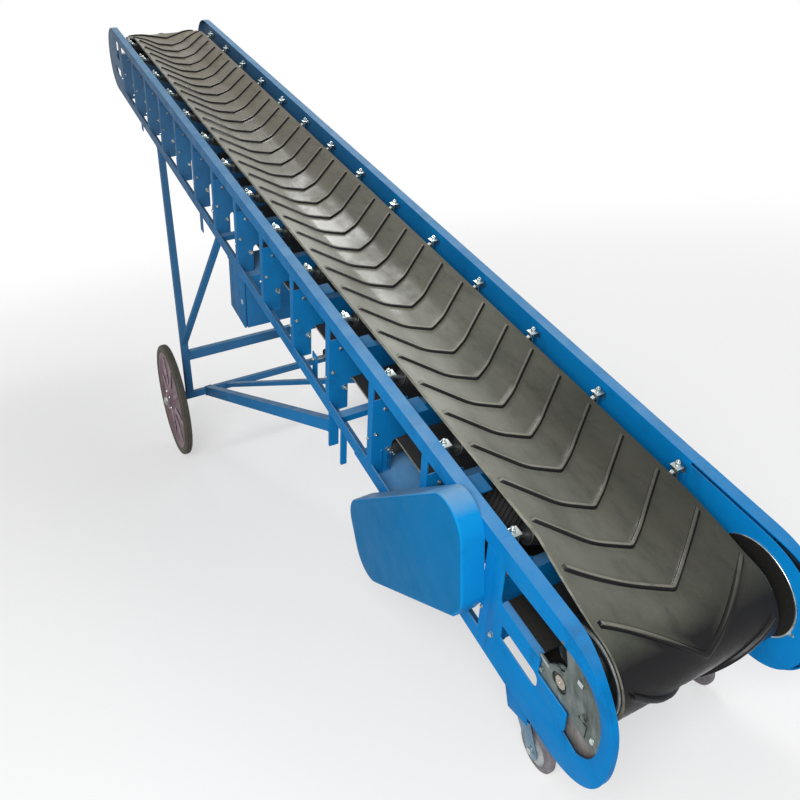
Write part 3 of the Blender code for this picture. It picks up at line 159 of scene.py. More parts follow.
def make_enamel(name, deep, pale, dust=0.60, chipped=0.6, soiled=0.55):
    """Sprayed enamel with its dust, grime and small chips. It is painted darker and greyer towards the head
    as painted shade, and paler on its upper faces, partly with dust and partly as a painted sheen.
    """
    material, tree, shader = node_tree(name)
    coat = blend_colours(tree, spread(tree, grain(tree, 2.2, 5.0), 0.30, 0.72), deep, pale)
    grime = spread(tree, grain(tree, 7.0, 7.0, 0.65), 0.56, 0.74, 0.0, soiled)
    coat = blend_colours(tree, grime, coat, ENAMEL_GRIME)
    if chipped:
        chips = spread(tree, grain(tree, 62.0, 3.0, 0.6), 0.71, 0.73, 0.0, chipped)
        coat = blend_colours(tree, chips, coat, ENAMEL_CHIP)
    # Painted shade: the enamel is painted darker, then greyer, towards the head.
    coat = blend_colours(tree, times(tree, towards_head(tree, -2.3, 0.4), 0.42), coat, ENAMEL_HEAD_SHADE)
    coat = blend_colours(tree, times(tree, towards_head(tree, -0.6, 3.2), 0.55), coat, ENAMEL_HEAD_GREY_SHADE)
    # Pale dust and painted sheen on the upper faces, only a quarter as strong at the tail end.
    top_dust_and_sheen = times(tree, upward(tree), spread(tree, grain(tree, 11.0, 5.0), 0.25, 0.70, 0.45, 1.0))
    top_dust_and_sheen = times(tree, top_dust_and_sheen, spread(tree, towards_head(tree, -2.9, -2.1), 0.0, 1.0, 0.25, 1.0))
    coat = blend_colours(tree, times(tree, top_dust_and_sheen, dust), coat, ENAMEL_DUST_SHEEN)
    tree.links.new(coat, shader.inputs["Base Color"])
    film = spread(tree, grain(tree, 14.0, 6.0), 0.3, 0.7, 0.30, 0.48)
    tree.links.new(film, shader.inputs["Roughness"])
    ripple(tree, shader, grain(tree, 160.0, 3.0), 0.18, 0.0005)
    shader.inputs["Specular IOR Level"].default_value = 0.015
    return material


enamel = make_enamel("blue_enamel", ENAMEL_DEEP, ENAMEL_PALE)


def dress(node, material, edge=0.0012):
    """Gives a CAD node its finish, and rounds its edges as folding and grinding do."""
    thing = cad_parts[node]
    thing.data.materials.clear()
    thing.data.materials.append(material)
    weld = thing.modifiers.new("weld", "WELD")
    weld.merge_threshold = 0.00005
    flat = thing.modifiers.new("flat", "DECIMATE")
    flat.decimate_type = "DISSOLVE"
    flat.angle_limit = math.radians(0.5)
    round_edge = thing.modifiers.new("round_edge", "BEVEL")
    round_edge.width = edge
    round_edge.segments = 2
    round_edge.limit_method = "ANGLE"
    round_edge.angle_limit = math.radians(40)
    even = thing.modifiers.new("even", "WEIGHTED_NORMAL")
    even.keep_sharp = False


for side in ("left", "right"):
    for piece in ("top_rail", "bottom_rail", "head_plate"):
        dress(f"{piece}_{side}", enamel)


class Workpiece:
    """One mesh put together from shapes, each in its own finish."""

    def __init__(self, name):
        self.name = name
        self.finishes = []
        self.mesh = bmesh.new()

    def add(self, shape, finish, turn=None):
        """Adds a shape in one finish, moved by a matrix if one is given."""
        if finish not in self.finishes:
            self.finishes.append(finish)
        for face in shape.faces:
            face.material_index = self.finishes.index(finish)
        if turn is not None:
            shape.transform(turn)
            if turn.determinant() < 0:
                bmesh.ops.reverse_faces(shape, faces=shape.faces)
        data = bpy.data.meshes.new("shape")
        shape.to_mesh(data)
        shape.free()
        self.mesh.from_mesh(data)
        bpy.data.meshes.remove(data)

    def mount(self, body, slot, *stands_for, at=DECK, crease=32):
        """Makes the piece, fixes it to its body and hides the CAD nodes that it stands for."""
        data = bpy.data.meshes.new(self.name)
        self.mesh.transform(at)
        self.mesh.to_mesh(data)
        self.mesh.free()
        for finish in self.finishes:
            data.materials.append(finish)
        data.shade_smooth()
        data.set_sharp_from_angle(angle=math.radians(crease))
        return hang(self.name, data, body, stands_for)


def hang(name, data, body, stands_for=()):
    """Puts a mesh in the scene as a piece of one body."""
    thing = bpy.data.objects.new(name, data)
    bpy.context.scene.collection.objects.link(thing)
    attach(thing, body)
    if stands_for:
        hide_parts(*stands_for)
    return thing


def bead(points, radius=0.0026):
    """A weld bead along a line, with the small scales that a torch leaves."""
    line = [Vector(p) for p in points]
    spine = []
    for a, b in zip(line, line[1:]):
        count = max(2, round((b - a).length / (radius * 1.6)))
        spine += [a.lerp(b, k / count) for k in range(count)]
    spine.append(line[-1])
    along = (line[-1] - line[0]).normalized()
    turn = along.to_track_quat("Z", "Y").to_matrix()
    shape = bmesh.new()
    rings = []
    for number, point in enumerate(spine):
        swell = radius * (1.0 if number % 2 else 0.78)
        if number in (0, len(spine) - 1):
            swell = radius * 0.35
        ring = [(math.cos(k * math.pi / 3) * swell, math.sin(k * math.pi / 3) * swell, 0) for k in range(6)]
        rings.append([shape.verts.new(point + turn @ Vector(p)) for p in ring])
    for a, b in zip(rings, rings[1:]):
        for k in range(6):
            shape.faces.new((a[k], a[(k + 1) % 6], b[(k + 1) % 6], b[k]))
    for ring in (rings[0], rings[-1]):
        shape.faces.new(ring)
    bmesh.ops.recalc_face_normals(shape, faces=shape.faces)
    return shape


def broken(u, v, w, edge=0.0012, steps=2):
    """A plate or block from its three ranges, with its edges broken."""
    shape = bmesh.new()
    bmesh.ops.create_cube(shape, size=1)
    for point in shape.verts:
        place = zip(point.co, (u, v, w))
        point.co = Vector([(low + high) / 2 + share * abs(high - low) for share, (low, high) in place])
    if edge:
        bmesh.ops.bevel(shape, geom=shape.edges[:], offset=edge, segments=steps, profile=0.5, affect="EDGES")
    bmesh.ops.recalc_face_normals(shape, faces=shape.faces)
    return shape


# Feed tabs on the drive side, in a darker enamel that is painted shade
TAB_HALF = 0.0385
tab_shade_enamel = make_enamel("tab_shade_enamel", (0.004, 0.078, 0.200, 1), (0.006, 0.098, 0.240, 1), 0.12, 0)
feed_tabs = Workpiece("feed_tab_caps")
for u in (0.2, 0.6, 1.0, 1.4):
    tab = broken((u - TAB_HALF, u + TAB_HALF), (0.2850, 0.3426), (-0.0070, -0.0008), 0.0028, 3)
    feed_tabs.add(tab, tab_shade_enamel)
feed_tabs.mount("chassis", "blue_paint")

# Weld beads at the posts, at the rails' ends and at the feet of the hanging strips
frame_welds = Workpiece("frame_welds")
for side in (1, -1):
    face = side * WELD_V
    for u in STATIONS:
        for w in (-0.0392, -0.4050):
            frame_welds.add(bead([(u - 0.0190, face, w), (u + 0.0195, face, w)], 0.0022), enamel)
        back = u - POST_BACK
        frame_welds.add(bead([(back, side * POST_INNER, -0.4590), (back, side * 0.380, -0.4590)]), enamel)
    for u in (-0.025, 5.225):
        for top, foot in ((0.019, -0.037), (-0.407, -0.463)):
            frame_welds.add(bead([(u, face, top), (u, face, foot)], 0.0018), enamel)
    for u, inner in ((1.174, 0.350), (1.186, 0.350), (1.054, 0.364), (1.066, 0.364)):
        w = FRAME_FOOT - 0.0005
        frame_welds.add(bead([(u, side * inner, w), (u, side * 0.386, w)], 0.0030), enamel)
frame_welds.mount("chassis", "blue_paint")


def either_side(side, inner, outer):
    """A range across the deck, on its left (1) or its right (-1)."""
    return sorted((side * inner, side * outer))


# Strips that close the joints of the rails with the end plates, and a gusset beside the first post
joint_strips = Workpiece("joint_strips")
for side in (1, -1):
    for along in ((-0.0252, -0.0194), (5.2200, 5.2252)):
        strip = broken(along, either_side(side, 0.3832, 0.3876), (-0.4060, -0.0380), 0.0004, 1)
        joint_strips.add(strip, enamel)
    gusset = broken((-0.0190, -0.0150), either_side(side, 0.2845, 0.3080), (-0.4600, -0.3100), 0.0008)
    joint_strips.add(gusset, enamel)
joint_strips.mount("chassis", "blue_paint")


# The tail end plates
# Each is cut from sheet with a window for the take-up and a slot below it. A rim, rolled round a slightly
# squared end and narrower at its front, is welded inside its edge. Black rubber strips reach in to the belt
# and fill the gaps there with painted shade.

TAIL_JOINT = -0.0250
TAIL_AT = (-0.320, -0.222)
TAIL_REACH = 0.243
WINDOW_AT = (-0.360, -0.1975)
WINDOW_REACH = 0.1585
WINDOW_STEP = -0.2520
MID_BAR_TOP = -0.1900
MID_BAR_SHEET = 0.0050
PLATE_BACK = 0.3830
RIM_DEEP = 0.0445
RIM_SHALLOW = 0.0220
SQUARED = 2.4


def squared_round(centre, reach, height, start=90, stop=270, steps=48):
    """A round end a little squared, from its top to its foot."""
    outline = []
    for k in range(steps + 1):
        turn = math.radians(start + (stop - start) * k / steps)
        c, s = math.cos(turn), math.sin(turn)
        outline.append((centre[0] + math.copysign(reach * abs(c) ** (2 / SQUARED), c),
                        centre[1] + math.copysign(height * abs(s) ** (2 / SQUARED), s)))
    return outline


def soft_outline(corners, steps, inward=0.0):
    """An outline from corners that each carry a radius."""
    outline = []
    count = len(corners)
    for i, (x, y, radius) in enumerate(corners):
        here = Vector((x, y))
        before = (Vector(corners[i - 1][:2]) - here).normalized()
        after = (Vector(corners[(i + 1) % count][:2]) - here).normalized()
        half = before.angle(after) / 2
        centre = here + (before + after).normalized() * radius / math.sin(half)
        start = here + before * radius / math.tan(half) - centre
        turn = start.angle_signed(here + after * radius / math.tan(half) - centre)
        size = (radius - inward) / radius
        for k in range(steps + 1):
            outline.append(tuple(centre + Matrix.Rotation(-turn * k / steps, 2) @ start * size))
    return outline


def cut_sheet(outlines, low, high, edge=0.0009):
    """A sheet cut to an outline and its openings, drawn in u and w, with its edges broken."""
    drawing = bpy.data.curves.new("sheet", "CURVE")
    drawing.dimensions = "2D"
    drawing.fill_mode = "BOTH"
    drawing.extrude = (high - low) / 2 - edge
    drawing.bevel_depth = edge
    drawing.bevel_resolution = 1
    for outline in outlines:
        line = drawing.splines.new("POLY")
        line.points.add(len(outline) - 1)
        for point, place in zip(line.points, outline):
            point.co = (place[0], place[1], 0, 1)
        line.use_cyclic_u = True
    paper = bpy.data.objects.new("sheet", drawing)
    data = bpy.data.meshes.new_from_object(paper)
    shape = bmesh.new()
    shape.from_mesh(data)
    bmesh.ops.remove_doubles(shape, verts=shape.verts, dist=0.00002)
    bpy.data.objects.remove(paper)
    bpy.data.curves.remove(drawing)
    bpy.data.meshes.remove(data)
    shape.transform(Matrix(((1, 0, 0, 0), (0, 0, 1, (low + high) / 2), (0, 1, 0, 0), (0, 0, 0, 1))))
    bmesh.ops.recalc_face_normals(shape, faces=shape.faces)
    return shape


def rolled_rim(outline, outer, depths, sheet=0.005):
    """A strip bent round an outline. outer is where it starts across the deck, depths how far it goes in."""
    shape = bmesh.new()
    rows = []
    for k, place in enumerate(outline):
        here = Vector(place)
        way = Vector(outline[min(k + 1, len(outline) - 1)]) - Vector(outline[max(k - 1, 0)])
        inward = Vector((-way.y, way.x)).normalized() * sheet
        inner = outer - depths[k]
        row = []
        for spot, v in ((here, outer), (here, inner + 0.0010), (here + inward * 0.2, inner),
                        (here + inward * 0.8, inner), (here + inward, inner + 0.0010),
                        (here + inward, outer)):
            row.append(shape.verts.new((spot.x, v, spot.y)))
        rows.append(row)
    for a, b in zip(rows, rows[1:]):
        for j in range(6):
            i = (j + 1) % 6
            shape.faces.new((a[j], a[i], b[i], b[j]))
    shape.faces.new(rows[0])
    shape.faces.new(rows[-1])
    bmesh.ops.recalc_face_normals(shape, faces=shape.faces)
    return shape


def make_mottled(name, noise, one, other, band, gloss, gloss_band=(0.3, 0.7), bump=None):
    """A finish mottled between two colours. Its gloss follows the same noise, its fine bump another."""
    material, tree, shader = node_tree(name)
    patches = grain(tree, *noise)
    colour = blend_colours(tree, spread(tree, patches, *band), one, other)
    tree.links.new(colour, shader.inputs["Base Color"])
    tree.links.new(spread(tree, patches, *gloss_band, *gloss), shader.inputs["Roughness"])
    if bump:
        scale, detail, strength, distance = bump
        ripple(tree, shader, grain(tree, scale, detail), strength, distance)
    return material, shader


# Black rubber that is painted shade: it fills gaps beside the belt and lies behind the tail drum.
shade_fill_rubber, shader = make_mottled("shade_fill_rubber", (90.0, 5.0, 0.6), (0.006, 0.006, 0.006, 1),
                                    (0.022, 0.021, 0.018, 1), (0, 1), (0.60, 0.85))
shader.inputs["Specular IOR Level"].default_value = 0.1

tail_edge = [(TAIL_JOINT, FRAME_TOP), (-0.150, FRAME_TOP), (-0.250, FRAME_TOP)]
tail_edge += squared_round(TAIL_AT, TAIL_REACH, TAIL_REACH)
tail_edge += [(-0.250, FRAME_FOOT), (-0.150, FRAME_FOOT), (TAIL_JOINT, FRAME_FOOT)]
window = squared_round(WINDOW_AT, WINDOW_REACH, WINDOW_REACH, 90, 240, 36)
window += soft_outline([(-0.400, -0.3520, 0.016), (-0.395, WINDOW_STEP, 0.006), (-0.265, WINDOW_STEP, 0.006),
                        (-0.265, MID_BAR_TOP, 0.008), (-0.070, MID_BAR_TOP, 0.014), (-0.070, -0.0390, 0.010)],
                       5)
slot = soft_outline([(-0.090, -0.3210, 0.006), (-0.090, -0.2620, 0.006), (-0.270, -0.2620, 0.022),
                     (-0.270, -0.3210, 0.022)], 7)
rim_depths = []
for u, w in tail_edge:
    front = min(1.0, max(0.0, (-0.330 - u) / 0.200))
    rim_depths.append(RIM_DEEP - (RIM_DEEP - RIM_SHALLOW) * front * front * (3 - 2 * front))

mid_bar_u = (-0.256, -0.074)
mid_bar_foot = MID_BAR_TOP - MID_BAR_SHEET
shade_fill_inner = 0.2965
for name, side in (("left", 1), ("right", -1)):
    plate = Workpiece(f"tail_plate_cut_{name}")
    turn = Matrix.Scale(side, 4, (0, 1, 0))
    plate.add(cut_sheet([tail_edge, window, slot], PLATE_BACK, FRAME_FACE), enamel, turn)
    plate.add(rolled_rim(tail_edge, WELD_V, rim_depths), enamel, turn)
    plate.add(broken(mid_bar_u, (0.3632, 0.3836), (mid_bar_foot, MID_BAR_TOP - 0.0002), 0.0010), enamel, turn)
    # Painted shade: black rubber fills the gaps from the bar and the plate's foot to the belt's edge.
    bar_shade_fill = broken(mid_bar_u, (shade_fill_inner, 0.3636), (mid_bar_foot, MID_BAR_TOP - 0.0004), 0.0010)
    plate.add(bar_shade_fill, shade_fill_rubber, turn)
    foot_shade_fill = broken((-0.340, -0.180), (shade_fill_inner, 0.3828), (-0.2586, -0.2530), 0.0010)
    plate.add(foot_shade_fill, shade_fill_rubber, turn)
    plate.mount("chassis", "blue_paint", f"tail_plate_{name}", crease=30)


# Frame bolts
# Hexagon bolts and nuts, rolled and bright zinc plated, with plain washers. They hold the idler bars to
# the posts and close the corners of the tail end, and a few stand longer than they need.

ZINC_LIGHT = (0.66, 0.71, 0.70, 1)
ZINC_DULL = (0.30, 0.36, 0.35, 1)
ZINC_STAIN = (0.16, 0.19, 0.17, 1)


def make_zinc(name, light, dull, stain, low_gloss=0.24, high_gloss=0.46, streak=(1, 1, 1)):
    """Zinc plating: a broken spangle, darker streaks and greasy stains."""
    material, tree, shader = node_tree(name)
    plate = blend_colours(tree, spread(tree, grain(tree, 34.0, 5.0, 0.6, streak), 0.32, 0.66), light, dull)
    stains = spread(tree, grain(tree, 9.0, 6.0, 0.65, streak), 0.50, 0.72, 0.0, 0.75)
    plate = blend_colours(tree, stains, plate, stain)
    tree.links.new(plate, shader.inputs["Base Color"])
    shader.inputs["Metallic"].default_value = 1.0
    film = spread(tree, grain(tree, 22.0, 4.0), 0.3, 0.7, low_gloss, high_gloss)
    tree.links.new(film, shader.inputs["Roughness"])
    ripple(tree, shader, grain(tree, 240.0, 3.0), 0.15, 0.0004)
    return material


zinc = make_zinc("bright_zinc", ZINC_LIGHT, ZINC_DULL, ZINC_STAIN)


def lathed(start, toward, profile, sides=32):
    """A shape turned about a line. The profile is radius and distance along it, and may end on the axis."""
    turn = Vector(toward).to_track_quat("Z", "Y").to_matrix()
    shape = bmesh.new()
    rings = []
    for radius, along in profile:
        if radius < 1e-6:
            rings.append([shape.verts.new((0, 0, along))])
            continue
        ring = [(radius * math.cos(k * math.tau / sides), radius * math.sin(k * math.tau / sides))
                for k in range(sides)]
        rings.append([shape.verts.new((x, y, along)) for x, y in ring])
    for a, b in zip(rings, rings[1:]):
        for k in range(sides):
            j = (k + 1) % sides
            if len(a) == 1:
                shape.faces.new((a[0], b[j], b[k]))
            elif len(b) == 1:
                shape.faces.new((a[k], a[j], b[0]))
            else:
                shape.faces.new((a[k], a[j], b[j], b[k]))
    bmesh.ops.recalc_face_normals(shape, faces=shape.faces)
    place = turn.to_4x4()
    place.translation = start
    shape.transform(place)
    return shape


def hex_fixing(work, finish, at, toward, across=0.017, height=0.008, stud=0.004, turn=None):
    """A hexagon nut or head on a washer, with the end of its bolt."""
    washer = across * 0.62
    thick = 0.0018
    ring = [(0, 0), (washer, 0), (washer, thick - 0.0004), (washer * 0.96, thick), (0, thick)]
    work.add(lathed(at, toward, ring, 20), finish, turn)
    corner = across / math.sqrt(3)
    top = thick + height
    nut = [(0, 0.0010), (corner, 0.0016), (corner, top - 0.0014), (corner * 0.86, top), (0, top)]
    work.add(lathed(at, toward, nut, 6), finish, turn)
    if stud:
        core = across * 0.30
        tip = top + stud
        bolt = [(0, 0.002), (core, 0.002), (core, tip - 0.001), (core * 0.8, tip), (0, tip)]
        work.add(lathed(at, toward, bolt, 12), finish, turn)


TO_TAIL = (-1, 0, 0)
frame_bolts = Workpiece("frame_bolts")
for side in (1, -1):
    out = (0, side, 0)
    for number, u in enumerate(STATIONS):
        back = u - POST_BACK
        proud = 0.007 + 0.004 * (number % 3)
        hex_fixing(frame_bolts, zinc, (back, side * 0.318, -0.350), TO_TAIL, 0.019, 0.009, proud)
        hex_fixing(frame_bolts, zinc, (back, side * 0.338, -0.150), TO_TAIL, 0.013, 0.005, 0.0)
        hex_fixing(frame_bolts, zinc, (back, side * 0.372, -0.260), TO_TAIL, 0.013, 0.005, 0.003)
        hex_fixing(frame_bolts, zinc, (u + 0.012, side * FRAME_FACE, -0.300), out, 0.010, 0.004, 0.0)
    hex_fixing(frame_bolts, zinc, (-0.052, side * FRAME_FACE, -0.350), out, 0.015, 0.007, 0.003)
    hex_fixing(frame_bolts, zinc, (0.8 - POST_BACK, side * 0.300, -0.372), TO_TAIL, 0.017, 0.008, 0.010)
loose_rod = [(0, 0), (0.0028, 0), (0.0028, 0.070), (0, 0.072)]
frame_bolts.add(lathed((0.772, 0.320, -0.372), (0, 0, -1), loose_rod, 8), zinc)
frame_bolts.mount("chassis", "zinc_plate")


# Cross ties and motor plate
# Flat steel ties bolted between the bottom rails, and a thick plate under them that carries the motor.
# All are enamelled with the frame.

for piece in ("cross_tie_1", "cross_tie_2", "cross_tie_3"):
    dress(piece, enamel)
dress("motor_plate", enamel, 0.0020)

RAIL_FLOOR = FRAME_FOOT + 0.0050
UP, DOWN = (0, 0, 1), (0, 0, -1)
tie_bolts = Workpiece("tie_bolts")
for side in (1, -1):
    for u in (1.120, 2.754, 4.170):
        hex_fixing(tie_bolts, zinc, (u, side * 0.362, FRAME_FOOT), DOWN, 0.017, 0.008, 0.0)
    for u in (0.462, 0.908):
        hex_fixing(tie_bolts, zinc, (u, side * 0.366, RAIL_FLOOR), UP, 0.019, 0.009, 0.005)
        hex_fixing(tie_bolts, zinc, (u, side * 0.366, -0.4753), DOWN, 0.019, 0.009, 0.0)
tie_bolts.mount("chassis", "zinc_plate")


# Trough idlers
# Three steel rollers on a folded cross bar: a level one and a leaning one at each side. The tubes are
# dark and burnished by the belt, the stands and the clips over the wing shafts are zinc plated.

ROLLER_R = 0.030
TROUGH = math.radians(23.0)
BELT_BED = -0.080
FLAT_HALF = 0.100


def make_roller_steel(name):
    """Dark enamel, burnished in bands by the belt."""
    material, tree, shader = node_tree(name)
    patches = spread(tree, grain(tree, 16.0, 5.0), 0.3, 0.7)
    body = blend_colours(tree, patches, (0.016, 0.017, 0.018, 1), (0.040, 0.042, 0.042, 1))
    rub = spread(tree, grain(tree, 5.0, 6.0, 0.7, (1, 9, 1)), 0.52, 0.70, 0.0, 0.7)
    body = blend_colours(tree, rub, body, (0.170, 0.165, 0.150, 1))
    tree.links.new(body, shader.inputs["Base Color"])
    shader.inputs["Metallic"].default_value = 0.55
    tree.links.new(spread(tree, rub, 0.0, 0.7, 0.50, 0.30), shader.inputs["Roughness"])
    ripple(tree, shader, grain(tree, 130.0, 3.0), 0.2, 0.0005)
    return material


roller_steel = make_roller_steel("roller_steel")

black_plastic, shader = make_mottled("black_plastic", (300.0, 2.0), (0.010, 0.010, 0.011, 1),
                                     (0.026, 0.026, 0.027, 1), (0, 1), (0.42, 0.60),
                                     bump=(300.0, 2.0, 0.3, 0.0003))


def cut_plate(outline, along, low, high, edge=0.0010):
    """A plate cut to an outline. along tells which of u, v and w its thickness follows."""
    shape = bmesh.new()
    sheets = []
    for level in (low, high):
        places = []
        for a, b in outline:
            place = [a, b]
            place.insert(along, level)
            places.append(shape.verts.new(place))
        sheets.append(places)
    shape.faces.new(sheets[0])
    shape.faces.new(sheets[1])
    for k in range(len(outline)):
        j = (k + 1) % len(outline)
        shape.faces.new((sheets[0][k], sheets[0][j], sheets[1][j], sheets[1][k]))
    bmesh.ops.recalc_face_normals(shape, faces=shape.faces)
    if edge:
        rims = [e for e in shape.edges if abs(e.verts[0].co[along] - e.verts[1].co[along]) < 1e-7]
        bmesh.ops.bevel(shape, geom=rims, offset=edge, segments=2, profile=0.5, affect="EDGES")
    return shape


def rod(radius, length):
    """The profile of a plain round bar."""
    return [(0, 0), (radius, 0), (radius, length), (0, length)]


def add_roller(work, start, end, radius, sides=28):
    """A steel tube with pressed end caps, and a seal round each shaft end."""
    start, end = Vector(start), Vector(end)
    length = (end - start).length
    cap = 0.0035
    tube = [(radius * 0.90, cap), (radius * 0.92, 0), (radius - 0.0015, 0), (radius, 0.0015)]
    tube += [(r, length - at) for r, at in reversed(tube)]
    work.add(lathed(start, end - start, tube, sides), roller_steel)
    seal = [(0.0082, cap), (0.0082, 0.0005), (0.0150, 0.0005), (0.0165, cap)]
    for at, way in ((start, end - start), (end, start - end)):
        work.add(lathed(at, way, [(0, cap), (radius * 0.91, cap)], sides), roller_steel)
        work.add(lathed(at, way, seal, 20), black_plastic)


BAR_BACK, BAR_FRONT = -0.0154, -0.0114
BAR_TOP = -0.1900
BAR_SHEET = 0.0040
SHAFT_R = 0.008
BELT_GAP = 0.0003
LEVEL_HALF = 0.094
WING_START, WING_END = 0.014, 0.172
STAND_HALF = 0.0150
CLIP_HALF = 0.0175
CLIP_TOP = -0.0078

idler = Workpiece("trough_idler_set")
idler.add(broken((BAR_BACK, BAR_FRONT), (-0.3825, 0.3825), (-0.3100, BAR_TOP - 0.0002), 0.0012), enamel)
idler.add(broken((BAR_BACK, BAR_BACK + 0.040), (-0.304, 0.304), (BAR_TOP - BAR_SHEET, BAR_TOP), 0.0012),
          enamel)
axis_w = BELT_BED - ROLLER_R - BELT_GAP
add_roller(idler, (0, -LEVEL_HALF, axis_w), (0, LEVEL_HALF, axis_w), ROLLER_R)
inner_stand = [(-STAND_HALF, BAR_TOP), (STAND_HALF, BAR_TOP), (STAND_HALF, axis_w - 0.004),
               (0.009, axis_w + 0.009), (-0.009, axis_w + 0.009), (-STAND_HALF, axis_w - 0.004)]
for side in (1, -1):
    along = Vector((0, side * math.cos(TROUGH), math.sin(TROUGH)))
    square = Vector((0, -side * math.sin(TROUGH), math.cos(TROUGH)))
    fold = Vector((0, side * FLAT_HALF, BELT_BED)) - square * (ROLLER_R + BELT_GAP)
    start, end = fold + along * WING_START, fold + along * WING_END
    add_roller(idler, start, end, ROLLER_R)
    idler.add(lathed(start - along * 0.010, along, rod(SHAFT_R, 0.200), 14), zinc)
    idler.add(lathed((0, side * 0.092, axis_w), (0, side, 0), rod(SHAFT_R, 0.026), 14), zinc)
    for inner, outer in ((0.1010, 0.1050), (0.1150, 0.1190)):
        idler.add(cut_plate(inner_stand, 1, *either_side(side, inner, outer), 0.0008), zinc)
    tip = end + along * 0.042
    stand_v = abs(tip.y) - 0.0050
    stand = either_side(side, stand_v, stand_v + 0.0042)
    idler.add(broken((-STAND_HALF, STAND_HALF), stand, (BAR_TOP - 0.0010, -0.0110), 0.0008), zinc)
    foot = either_side(side, stand_v, stand_v - 0.026)
    idler.add(broken((-STAND_HALF, STAND_HALF), foot, (BAR_TOP, BAR_TOP + 0.0038), 0.0008), zinc)
    hex_fixing(idler, zinc, (0.0, side * (stand_v - 0.014), BAR_TOP + 0.0038), UP, 0.013, 0.006, 0.003)
    # The clip over the wing shaft's end, with its bolts
    clip = either_side(side, 0.2965, 0.3360)
    idler.add(broken((-CLIP_HALF, CLIP_HALF), clip, (CLIP_TOP - 0.0034, CLIP_TOP), 0.0008), zinc)
    clip_leg = either_side(side, 0.3330, 0.3362)
    idler.add(broken((-CLIP_HALF, CLIP_HALF), clip_leg, (-0.0360, CLIP_TOP - 0.0002), 0.0008), zinc)
    hex_fixing(idler, zinc, (0.004, side * 0.3180, CLIP_TOP), UP, 0.017, 0.009, 0.006)
    hex_fixing(idler, zinc, tip - along * 0.001, along, 0.015, 0.006, 0.0)
first_idler = idler.mount("chassis", "roller_steel", "trough_idler_01")
for number in range(1, len(STATIONS)):
    copy = first_idler.data.copy()
    copy.transform(Matrix.Translation(DECK.to_3x3() @ Vector((STATIONS[number], 0, 0))))
    name = f"trough_idler_{number + 1:02d}"
    hang(f"{name}_set", copy, "chassis", (name,))


# Return rollers
# Plain steel tubes that carry the belt back under the deck, on shafts that hang in the bottom rails.

RETURN_W = -0.3706
RETURN_HALF = 0.300

for number, u in enumerate((0.80, 1.43, 2.95, 4.45)):
    roller = Workpiece(f"return_roller_{number + 1}_set")
    add_roller(roller, (u, -RETURN_HALF, RETURN_W), (u, RETURN_HALF, RETURN_W), ROLLER_R)
    for side in (1, -1):
        shaft_end = [(0, 0), (0.0078, 0), (0.0078, 0.045), (0.0065, 0.0463), (0, 0.0463)]
        roller.add(lathed((u, side * (RETURN_HALF - 0.001), RETURN_W), (0, side, 0), shaft_end, 16), zinc)
        hex_fixing(roller, zinc, (u, side * 0.3502, RETURN_W), (0, side, 0), 0.019, 0.007, 0.004)
    roller.mount("chassis", "roller_steel", f"return_roller_{number + 1}")


# Drums
# Welded steel drums, turned on the face, with a recessed end disc and a shaft of ground steel. The
# rubber lagging of the drive drum has slanted grooves. The rims beyond the belt are rubbed pale.

DRUM_W = -0.190
TAIL_DRUM_U = -0.345
HEAD_DRUM_U = 5.450
DRUM_R = 0.127
DRUM_HALF = 0.290
GROUND_LIGHT = (0.62, 0.56, 0.46, 1)
GROUND_DULL = (0.30, 0.27, 0.22, 1)

ground_steel = make_zinc("ground_steel", GROUND_LIGHT, GROUND_DULL, (0.12, 0.10, 0.07, 1), 0.16, 0.34,
                         (4, 1, 4))
drum_rim = make_zinc("drum_rim", (0.52, 0.56, 0.56, 1), (0.30, 0.33, 0.33, 1), (0.14, 0.15, 0.15, 1),
                     0.30, 0.50)


def add_drum(work, u, w, radius, shaft_end, face):
    """A drum with recessed end discs, a boss and stepped shaft ends."""
    half = DRUM_HALF
    recess = 0.030
    inner = radius - 0.008
    work.add(lathed((u, -half, w), (0, 1, 0), [(radius, 0.006), (radius, half * 2 - 0.006)], 64), face)
    rim = [(radius, 0.006), (radius, 0.0010), (radius - 0.001, 0), (inner + 0.001, 0), (inner, 0.001),
           (inner, recess)]
    disc = [(inner, recess - 0.002), (0.058, 0.024), (0.054, 0.008), (0.032, 0.006), (0.0195, 0.006)]
    reach = shaft_end - half + recess
    shaft = [(0.0198, 0), (0.0198, reach - 0.0015), (0.0183, reach), (0.0060, reach), (0.0020, reach - 0.005),
             (0, reach - 0.005)]
    for side in (1, -1):
        work.add(lathed((u, side * half, w), (0, -side, 0), rim, 64), drum_rim)
        work.add(lathed((u, side * half, w), (0, -side, 0), disc, 48), roller_steel)
        work.add(lathed((u, side * (half - recess), w), (0, side, 0), shaft, 32), ground_steel)


tail_drum = Workpiece("tail_drum_turned")
add_drum(tail_drum, TAIL_DRUM_U, DRUM_W, DRUM_R, 0.3805, roller_steel)
tail_drum.mount("chassis", "roller_steel", "tail_drum")
head_drum = Workpiece("head_drum_turned")
add_drum(head_drum, HEAD_DRUM_U, DRUM_W, DRUM_R, 0.3605, roller_steel)
head_drum.mount("chassis", "roller_steel", "head_drum")

